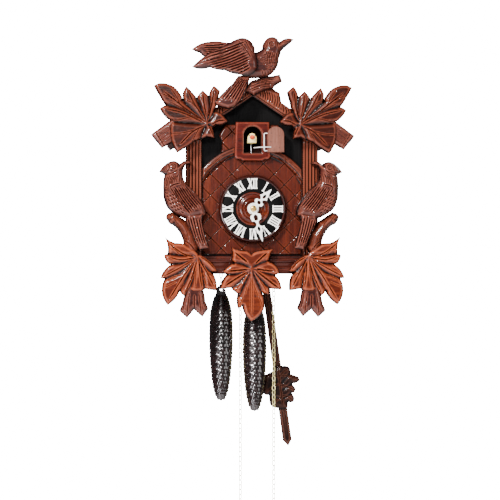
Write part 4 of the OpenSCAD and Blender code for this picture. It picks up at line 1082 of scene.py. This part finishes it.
def hand_loops(length, hub, bore):
    """A pierced hand pointing up: hub, two scrolls, a waist, a carved leaf and a point."""
    circle = [(hub * math.sin(a), -hub * math.cos(a)) for a in np.linspace(-2.5, 2.5, 33)]
    scroll = length * 0.28
    leaf = length * 0.60
    right = [(2.2, hub + 0.6, 0.3), (4.3, scroll + 1.2, 0.3), (2.6, scroll + 3.4, -0.2), (1.3, leaf - 4.2, 0.0),
             (1.6, leaf - 3.6, -0.1), (4.0, leaf - 1.5, 0.12), (2.8, leaf + 1.0, -0.15), (3.0, leaf + 2.6, 0.12),
             (1.7, leaf + 5.6, 0.0), (0.9, length - 3.0, 0.0)]
    left = [(-p[0], p[1], q[2]) for p, q in zip(right[::-1], [*right[-2::-1], (0, 0, 0.0)])]
    right = [(1.3 * x, z, bulge) for x, z, bulge in right]
    left = [(1.3 * x, z, bulge) for x, z, bulge in left]
    outer = [(p[0], p[1], 0) for p in circle[:-1]] + [(circle[-1][0], circle[-1][1], 0.0), *right,
                                                      (0, length, 0.0), *left]
    outline = arcs(outer, 0.7)
    holes = [arcs([(bore * math.cos(a), bore * math.sin(a), 0) for a in turns(24)], 5)]
    holes.append(arcs([(0, hub + 1.2, 0.2), (2.2, scroll + 1.0, 0.3), (0, scroll + 3.0, 0.3),
                       (-2.2, scroll + 1.0, 0.2)], 0.6))
    holes.append(arcs([(0, leaf - 2.4, 0.15), (1.5, leaf - 0.2, 0.15), (0, leaf + 3.4, 0.15),
                       (-1.5, leaf - 0.2, 0.15)], 0.6))
    return [outline, *holes]


def make_hands(m):
    minute_low = lows("minute_hand")[1]
    hour_low = lows("hour_hand")[1]
    plate_shape("minute_hand_carving", hand_loops(39.3, 5.6, 2.0), minute_low, 1.2, m["bone"], "minute_hand",
                ["minute_hand"], 0.3, turn=MINUTE_AT)
    plate_shape("hour_hand_carving", hand_loops(31.0, 6.6, 2.9), hour_low, 1.2, m["bone"], "hour_hand",
                ["hour_hand"], 0.3, turn=HOUR_AT)


def make_nut(m):
    low = lows("hand_nut")[1]
    profile = [(1.7, 0), (3.7, 0), (3.7, 1.3), (3.5, 1.9), (3.0, 2.5), (2.2, 2.9), (1.7, 2.9)]
    ring_piece("hand_nut_turned", profile, low + 3, m["brass"], "minute_hand", ["hand_nut"])
    arbor = [(0.0, low + 0.35), (1.35, low + 0.35), (1.6, low + 0.6), (1.6, low + 3)]
    vertices, faces = lathe([(r, -y) for r, y in arbor], 40)
    new_object("arbor_end", on_dial(vertices, 0), [f[::-1] for f in faces], m["brass"], "minute_hand")


# Weights, chains and pendulum -------------------------------------------------------------------

CHAIN_Y = -46.0
LINK_LONG = 6.9
LINK_WIDE = 4.9
LINK_WIRE = 0.55
LINK_PITCH = 5.6
ARBORS = {"strike": (-20, -120), "time": (20, -120)}
WHEEL_R = 11.5
LINKS_OVER = 6
RING_R = 7


def link_mesh(at, along, face):
    """One oval link: its middle, the way it runs and the way its flat side looks."""
    along = np.asarray(along, float) / np.linalg.norm(along)
    across = np.cross(face, along)
    across /= np.linalg.norm(across)
    straight = (LINK_LONG - LINK_WIDE) / 2
    r = LINK_WIDE / 2 - LINK_WIRE
    line = []
    for a in turns(20):
        shift = straight if math.sin(a) > 0 else -straight
        line.append(at + across * r * math.cos(a) + along * (shift + r * math.sin(a)))
    return tube(line, LINK_WIRE, 7, closed=True)


def chain_run(x, high, low):
    """Links down a straight run, each turned a quarter against the last."""
    parts = []
    count = int((high - low) / LINK_PITCH)
    for i in range(count + 1):
        turn = math.radians(45 if i % 2 else -45) + random.uniform(-0.16, 0.16)
        face = (math.sin(turn), math.cos(turn), 0)
        parts.append(link_mesh(np.array([x, CHAIN_Y, high - i * LINK_PITCH]), (0, 0, -1), face))
    return joined(parts)


def make_chain(name, arbor, weight_top, end_z, m):
    """A chain in three stretches: up from the weight, over its wheel and down to the free ring."""
    r = WHEEL_R
    parts = []
    for i in range(1, LINKS_OVER):
        a = math.pi * i / LINKS_OVER
        at = np.array([arbor[0] + r * math.cos(a), CHAIN_Y, arbor[1] + r * math.sin(a)])
        along = np.array([-math.sin(a), 0, math.cos(a)])
        turn = math.radians(45 if i % 2 else -45)
        outward = np.array([math.cos(a), 0, math.sin(a)])
        parts.append(link_mesh(at, along, outward * math.sin(turn) + np.array([0, 1, 0]) * math.cos(turn)))
    vertices, faces = joined(parts)
    new_object(f"{name}_chain_over_wheel", vertices, faces, m["chain"], "case", [f"{name}_chain"])
    for side, end, body in ((-1, weight_top - 3.2, f"{name}_weight"), (1, end_z, f"{name}_chain_end")):
        vertices, faces = chain_run(arbor[0] + side * r, arbor[1], end)
        run = new_object(f"{name}_chain_{'down' if side < 0 else 'free'}", vertices, faces, m["chain"], "case")
        world = run.matrix_world.copy()
        run.parent = None
        run.matrix_world = world
        del run["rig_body"]
        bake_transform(run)
    ring_box = lows(f"{name}_chain_ring"), highs(f"{name}_chain_ring")
    centre = (ring_box[0] + ring_box[1]) / 2
    line = [(centre[0] + RING_R * math.cos(a), centre[1], centre[2] + RING_R * math.sin(a)) for a in turns(40)]
    vertices, faces = tube(line, 1.0, 12, closed=True)
    new_object(f"{name}_ring_wire", vertices, faces, m["brass"], f"{name}_chain_end",
               [f"{name}_chain_ring"])


def cone_radius(t):
    shoulder = 0.68 + 0.32 * min(1.0, t / 0.14) ** 0.7
    return 13.7 * shoulder * (0.6 + 0.4 * math.sin(math.pi * min(1.0, 0.86 * t + 0.16))) * math.sqrt(max(0.0,
                                                                                                         1 - t ** 14))


def make_weight(name, m):
    """A cast pine cone: overlapping scales in staggered rows round a core, with a flat hanger."""
    low, high = lows(f"{name}_weight"), highs(f"{name}_weight")
    x, top = (low[0] + high[0]) / 2, high[2]
    rows_of, first, length = 28, -12.0, 126.0
    pitch = length / rows_of
    parts = []
    core = [(max(0.0, cone_radius(t) - 1.5), first - t * length) for t in np.linspace(0, 1, 40)]
    core = [(0.0, first + 0.4), (5.5, first + 0.2), *core[:-1], (0.0, first - length + 1.0)]
    vertices, faces = lathe(core, 48)
    parts.append((vertices + np.array([x, CHAIN_Y, top]), faces))
    for i in range(rows_of - 1):
        t = (i + 0.35) / rows_of
        around = 9
        radius = cone_radius(t)
        wide = 2 * math.pi / around
        for k in range(around):
            middle = (k + 0.5 * (i % 2) + random.uniform(-0.04, 0.04)) * wide
            parts.append(scale_mesh(x, top + first - i * pitch, radius, middle, wide * 0.54, pitch,
                                    0.25 + 0.75 * min(1, t / 0.22),
                                    cone_radius(min(1.0, t + 1.15 / rows_of))))
    vertices, faces = joined(parts)
    new_object(f"{name}_cone", vertices, faces, m["cone"], f"{name}_weight", [f"{name}_weight"], 38)
    outline = arcs([(-2.1, -0.2, 0.2), (-5.2, -5, 0), (-7.2, -13.4, 0), (7.2, -13.4, 0), (5.2, -5, 0),
                    (2.1, -0.2, 0.3)], 1)
    hole = arcs([(1.6, -4.5, 0.2), (0, -2.9, 0.2), (-1.6, -4.5, 0.2), (0, -6.1, 0.2)], 0.5)
    carve(f"{name}_hanger", f"{name}_weight", m["cone"],
          [outline + np.array([x, top]), hole + np.array([x, top])], CHAIN_Y + 2.5, pillow(5, 0.75, 1.6), step=0.8,
          rear=lambda p, edge: 0.8 * (1 - np.clip(edge / 1.2, 0, 1)) ** 2)


def scale_mesh(x, z, radius, middle, half, pitch, proud, below):
    """One scale of a cone: a rounded shield that lifts away from the core towards its lower edge."""
    across, down = 8, 5
    points, faces = [], []
    for j in range(down + 1):
        v = j / down
        width = half * 0.96 * (1 if v < 0.5 else max(0.0, 1 - ((v - 0.5) / 0.56) ** 3.5) ** 0.4)
        for i in range(across + 1):
            u = 2 * i / across - 1
            hump = 1.1 * (1 - u * u) * math.sin(math.pi * min(1.0, 0.15 + 0.75 * v))
            lift = proud * (-1.1 + 1.9 * v ** 0.8)
            r = radius + (below - radius) * v + lift * (1 - 0.2 * u * u) + proud * 0.4 * hump
            a = middle + u * width
            drop = z - pitch * 1.42 * v * (1 - 0.05 * u * u)
            points.append((x + r * math.sin(a), CHAIN_Y - r * math.cos(a), drop))
    n = across + 1
    count = len(points)
    core = radius - 2.6
    for j in range(down + 1):
        v = j / down
        for i in range(n):
            px, py, pz = points[j * n + i]
            d = math.hypot(px - x, py - CHAIN_Y)
            r = max(0.3, min(d - 0.55, core + 1.6 * v + (below - radius)))
            points.append((x + (px - x) * r / d, CHAIN_Y + (py - CHAIN_Y) * r / d, pz + 0.5 * v))
    for j in range(down):
        for i in range(across):
            a, b, c, d = j * n + i, j * n + i + 1, (j + 1) * n + i + 1, (j + 1) * n + i
            faces.append((a, d, c, b))
            faces.append((a + count, b + count, c + count, d + count))
    rim = ([i for i in range(n)] + [j * n + across for j in range(1, down + 1)]
           + [down * n + i for i in range(across - 1, -1, -1)] + [j * n for j in range(down - 1, 0, -1)])
    for a, b in zip(rim, rim[1:] + rim[:1]):
        faces.append((a, b, b + count, a + count))
    return np.array(points), faces


SWING_AT = (9.9, -88.0)
TILT = 8.0


def hung(points):
    """Points (x, z) of the hanging pendulum turned to where it is stored, at its tilt about the pivot."""
    c, s = math.cos(math.radians(TILT)), math.sin(math.radians(TILT))
    return np.array([(SWING_AT[0] + x * c - z * s, SWING_AT[1] + x * s + z * c) for x, z in points])


BOB = [(3, -205, 0), (6, -206.6, 0.06), (13.6, -208.6, 0.12), (14.4, -217.4, 0), (23.6, -222.4, 0.05),
       (24.6, -227, 0.1),
       (14.8, -229.6, 0), (18.4, -236, 0.05), (16.6, -239.6, 0.1), (13.2, -240.6, 0), (15.4, -247, 0.05),
       (13.4, -251.4, 0.1),
       (7, -251, 0), (5.4, -257.4, 0.1), (-5.2, -257, 0), (-12.6, -254, 0.1), (-15.4, -248, 0), (-15, -239, 0.1),
       (-20.6, -237, 0.08), (-21.8, -229, 0), (-19.4, -222.6, 0.1), (-15.6, -214.2, 0), (-6, -211, 0.06)]


def make_pendulum(m):
    low, high = lows("pendulum_stick")[1], highs("pendulum_stick")[1]
    stick = [(-4.4, -19, 0), (-5.4, -296.5, 0), (0, -304, 0), (5.4, -296.5, 0), (4.4, -19, 0.05)]
    cuts = [(hung([(x, -24), (x * 1.1, -292)]), 0.35, 0.5) for x in (-1.6, 1.6)]
    carve("pendulum_rod", "pendulum", m["pendulum"], [hung(arcs(stick, 3))], high,
          pillow(high - low, 0.6, 2.4), cuts, step=1.4, replaces=["pendulum_stick"])
    outline = hung(arcs(BOB, 0.9))
    front, back = lows("pendulum_leaf")[1], highs("pendulum_leaf")[1]
    veins = [(hung([(0, -254), (0, -230), (0, -207)]), 0.7, 1.1)]
    for tip in ((12, -210.5), (22, -224.5), (16, -237), (13, -249), (-18, -216), (-19, -235), (-12, -251)):
        start = (0, tip[1] + 8 if tip[1] < -220 else -219)
        veins.append((hung([start, ((start[0] + tip[0]) / 2, (start[1] + tip[1]) / 2 + 1), tip]), 0.6, 1.0))
    rule = valleys(pillow(back - front, 0.45, 6.0),
                   [hung([(0, -228), (13, -218)]), hung([(0, -236), (14, -230)]), hung([(0, -246), (13, -241)]),
                    hung([(0, -246), (-14, -240)])], 3.0, 1.0)
    carve("pendulum_leaf_carving", "pendulum", m["pendulum"], [outline], back, rule, veins, step=0.9,
          replaces=["pendulum_leaf"])


# Cuckoo and its door ----------------------------------------------------------------------------


def rounded_block(width, deep, low, top, rise):
    """A block with a round top, seen from the front, softened at its edges: points (x, y, z)."""
    outline = [(-width, low), (width, low)]
    outline += [(width * math.cos(a), top - rise + rise * math.sin(a)) for a in np.linspace(0, math.pi, 17)]
    profile = ((0, 0.8), (0.8, 0.95), (1.8, 1.0), (deep - 1.2, 1.0), (deep - 0.4, 0.95), (deep, 0.8))
    return softened(np.array(outline), profile)


def softened(outline, profile):
    """A board of an outline, front to back through (y, share of the outline's size)."""
    centre = outline.mean(0)
    return stacked([[(p[0], y, p[1]) for p in centre + (outline - centre) * share] for y, share in profile])


def ball(at, r, squash=(1, 1, 1), around=20):
    profile = [(r * math.sin(a), r * math.cos(a)) for a in np.linspace(0, math.pi, 13)]
    vertices, faces = lathe(profile, around)
    return vertices * np.array(squash) + np.array(at), faces


def make_cuckoo(m):
    beak_tip = lows("cuckoo_bird")[1]
    front = beak_tip + 6.6
    head, head_faces = rounded_block(5.2, 9, -28.6, -17.1, 6.4)
    body = ball((0, front + 9, -25.2), 5.6, (0.8, 1.25, 0.75))
    tail, tail_faces = rounded_block(2.2, 7, -26.8, -24.4, 1.2)
    vertices, faces = joined([(head + np.array([0, front, 0]), head_faces), body,
                              (tail + np.array([0, front + 12, 0]), tail_faces)])
    new_object("cuckoo_body", vertices, faces, m["cream"], "cuckoo", ["cuckoo_bird"], 50)
    profile = [(0.0, -0.4), (1.1, 0.2), (2.2, 2.4), (2.9, 4.6), (3.3, 6.6), (0.0, 7.4)]
    vertices, faces = lathe(profile, 20)
    vertices = np.column_stack([vertices[:, 0], beak_tip + 0.5 + vertices[:, 2], vertices[:, 1] * 0.8 - 22])
    new_object("cuckoo_beak", vertices, [f[::-1] for f in faces], m["red"], "cuckoo")
    eyes = [ball((x, front + 0.6, z), 1.0, (1, 0.8, 1), 14) for x, z in ((-3.2, -20.0), (3.3, -20.2))]
    vertices, faces = joined(eyes)
    new_object("cuckoo_eyes", vertices, faces, m["ink"], "cuckoo")


def make_door(m):
    """The door is shaped shut and turned open about its wire hinge."""
    hinge = np.array([13.3, -105.2])
    turn = math.radians(172)
    half, low, top = 9.7, -39.8, -10.2
    outline = opening(half, low, top)

    def swung(points):
        p = np.asarray(points, float)
        x, y = p[:, 0] - hinge[0], p[:, 1] - hinge[1]
        c, s = math.cos(turn), math.sin(turn)
        return np.column_stack([hinge[0] + x * c - y * s, hinge[1] + x * s + y * c, p[:, 2]])

    vertices, faces = softened(outline, ((-103.9, 0.95), (-103.6, 0.985), (-103.1, 1.0), (-101.6, 1.0),
                                         (-101.2, 0.985),
                                         (-101.0, 0.95)))
    new_object("door_board", swung(vertices), faces, m["door"], "cuckoo_door", ["cuckoo_door"], 40)
    # painted shade: flat dark dots stand in for the shade inside small pin holes
    holes = []
    for x, z in ((5.2, -18), (5.6, -27.5), (-4.6, -21), (-4.2, -34.6), (2.0, -37.4)):
        holes.append(ball((x, -101.0, z), 0.5, (1, 0.4, 1), 12))
    dots, dot_faces = joined(holes)
    new_object("door_pin_hole_shade", swung(dots), dot_faces, m["ink"], "cuckoo_door")
    line = [(7, -104.3, -37.8), (hinge[0] - 0.5, hinge[1] + 0.1, -37.8), (hinge[0], hinge[1], -37.2),
            (hinge[0], hinge[1], -18.4), (hinge[0] - 0.5, hinge[1] + 0.1, -17.8), (7, -104.3, -17.8)]
    post = dense([line[2], line[3]], 0.8)
    vertices, faces = joined([tube(dense(line, 0.8), 0.5, 10), tube(post, 0.68, 10)])
    new_object("door_hinge_wire", swung(vertices), faces, m["wire"], "cuckoo_door")


def dense(line, step):
    """Points along a bent line, with its corners kept."""
    points = []
    for a, b in zip(np.array(line, float), np.array(line[1:], float)):
        count = max(1, int(np.linalg.norm(b - a) / step))
        points += [a + (b - a) * i / count for i in range(count)]
    return np.array([*points, line[-1]])


def make_link(m):
    line = curve([(20.45, -111.3), (13.5, -111.3), (7, -106), (2, -98)], 0.7)
    vertices, faces = tube([(x, y, -34) for x, y in line], 0.5, 10)
    new_object("link_wire", vertices, faces, m["wire"], "door_link", ["door_link"])


# CAD pieces that are shown as they are ----------------------------------------------------------


def finish_cad(m):
    """Materials for the CAD nodes that stay in view."""
    looks = {
        "case": ["left_side", "right_side", "rear_door"],
        "case_cross": ["bottom_board", "back_rail"],
        "case_deep": ["left_roof_board", "right_roof_board"],
        # the front board gets the near-black painted shade
        "dark": ["front_board"],
        "pipe": ["bellows_pipes", "left_bellows_lid", "right_bellows_lid"],
        "brass": ["hanger_plate", "movement_back_plate", "movement_front_plate", "plate_pillars", "cannon_pinion",
                  "hour_wheel", "motion_wheel", "time_great_wheel", "center_wheel", "third_wheel", "escape_wheel",
                  "strike_great_wheel", "time_chain_wheel", "strike_chain_wheel"],
        "steel": ["pallet_anchor", "cuckoo_arm", "gong_hammer"],
        "gong": ["gong"],
    }
    for key, names in looks.items():
        for name in names:
            mesh = nodes[name].data
            mesh.materials.clear()
            mesh.materials.append(m[key])


# Studio -----------------------------------------------------------------------------------------


FLOOR_GAP = 0.25
LIT_BY_ROOM = 0.1
SEEN_ROOM = 24.0
AIM = Vector((0, -0.06, -0.12))


def area_light(name, at, size, power, colour=(1, 1, 1)):
    data = bpy.data.lights.new(name, "AREA")
    data.shape = "RECTANGLE"
    data.size, data.size_y = size
    data.energy = power
    data.color = colour
    light = bpy.data.objects.new(name, data)
    bpy.context.scene.collection.objects.link(light)
    light.location = at
    light.rotation_euler = (AIM - Vector(at)).to_track_quat("-Z", "Y").to_euler()


def make_studio():
    """A pale floor, soft lights and a white room that the camera sees brighter than it lights."""
    world = bpy.data.worlds.new("studio")
    bpy.context.scene.world = world
    world.use_nodes = True
    tree = world.node_tree
    background = tree.nodes["Background"]
    background.inputs["Color"].default_value = (1.0, 1.0, 1.0, 1)
    share = tree.nodes.new("ShaderNodeMapRange")
    tree.links.new(tree.nodes.new("ShaderNodeLightPath").outputs["Is Camera Ray"], share.inputs["Value"])
    share.inputs["To Min"].default_value = LIT_BY_ROOM
    share.inputs["To Max"].default_value = SEEN_ROOM
    tree.links.new(share.outputs["Result"], background.inputs["Strength"])
    low = cad_box[0][2] - FLOOR_GAP
    mesh = bpy.data.meshes.new("floor")
    side, front, back = 1.4, -2.4, 0.9
    mesh.from_pydata([(-side, front, low), (side, front, low), (side, back, low), (-side, back, low)], [],
                     [(0, 1, 2, 3)])
    floor = bpy.data.objects.new("floor", mesh)
    bpy.context.scene.collection.objects.link(floor)
    made = Nodes("pale_floor")
    grain = made.noise(made.scaled((1, 1, 1)), 18.0)
    made.bump(grain, 0.02, 0.001)
    tone = made.ramp(grain, (0.3, rgb(244, 243, 246)), (0.7, rgb(248, 247, 249)))
    mesh.materials.append(made.finish(tone, 0.9))
    area_light("key", (-1.0, -1.5, 1.0), (0.26, 0.26), 112, (1, 0.96, 0.95))
    area_light("flash", (-0.3, -1.8, 0.35), (0.16, 0.16), 26)
    area_light("fill", (1.4, -1.2, 0.1), (0.7, 0.7), 7)
    area_light("kicker", (-0.9, -1.4, -0.35), (0.14, 0.5), 10, (0.95, 0.95, 1))
    area_light("back", (0.9, 1.3, 0.7), (1.0, 1.0), 16)


def main():
    m = make_materials()
    for side, name in ((-1, "left"), (1, "right")):
        make_upper_leaf(side, f"upper_{name}_carving", m)
        make_vine(side, name, m)
        make_side_bird(side, name, m)
    make_top_bird(m)
    make_branch(m)
    make_gable(m)
    make_centre_leaf(m)
    make_front_plate(m)
    make_rim(m)
    make_posts(m)
    make_ledge(m)
    make_surround(m)
    make_dial(m)
    make_numerals(m)
    make_hands(m)
    make_nut(m)
    for name, arbor in ARBORS.items():
        make_chain(name, arbor, highs(f"{name}_weight")[2], highs(f"{name}_chain_ring")[2], m)
    for name in ARBORS:
        make_weight(name, m)
    make_pendulum(m)
    make_cuckoo(m)
    make_door(m)
    make_link(m)
    finish_cad(m)
    make_studio()
    make_camera()


main()
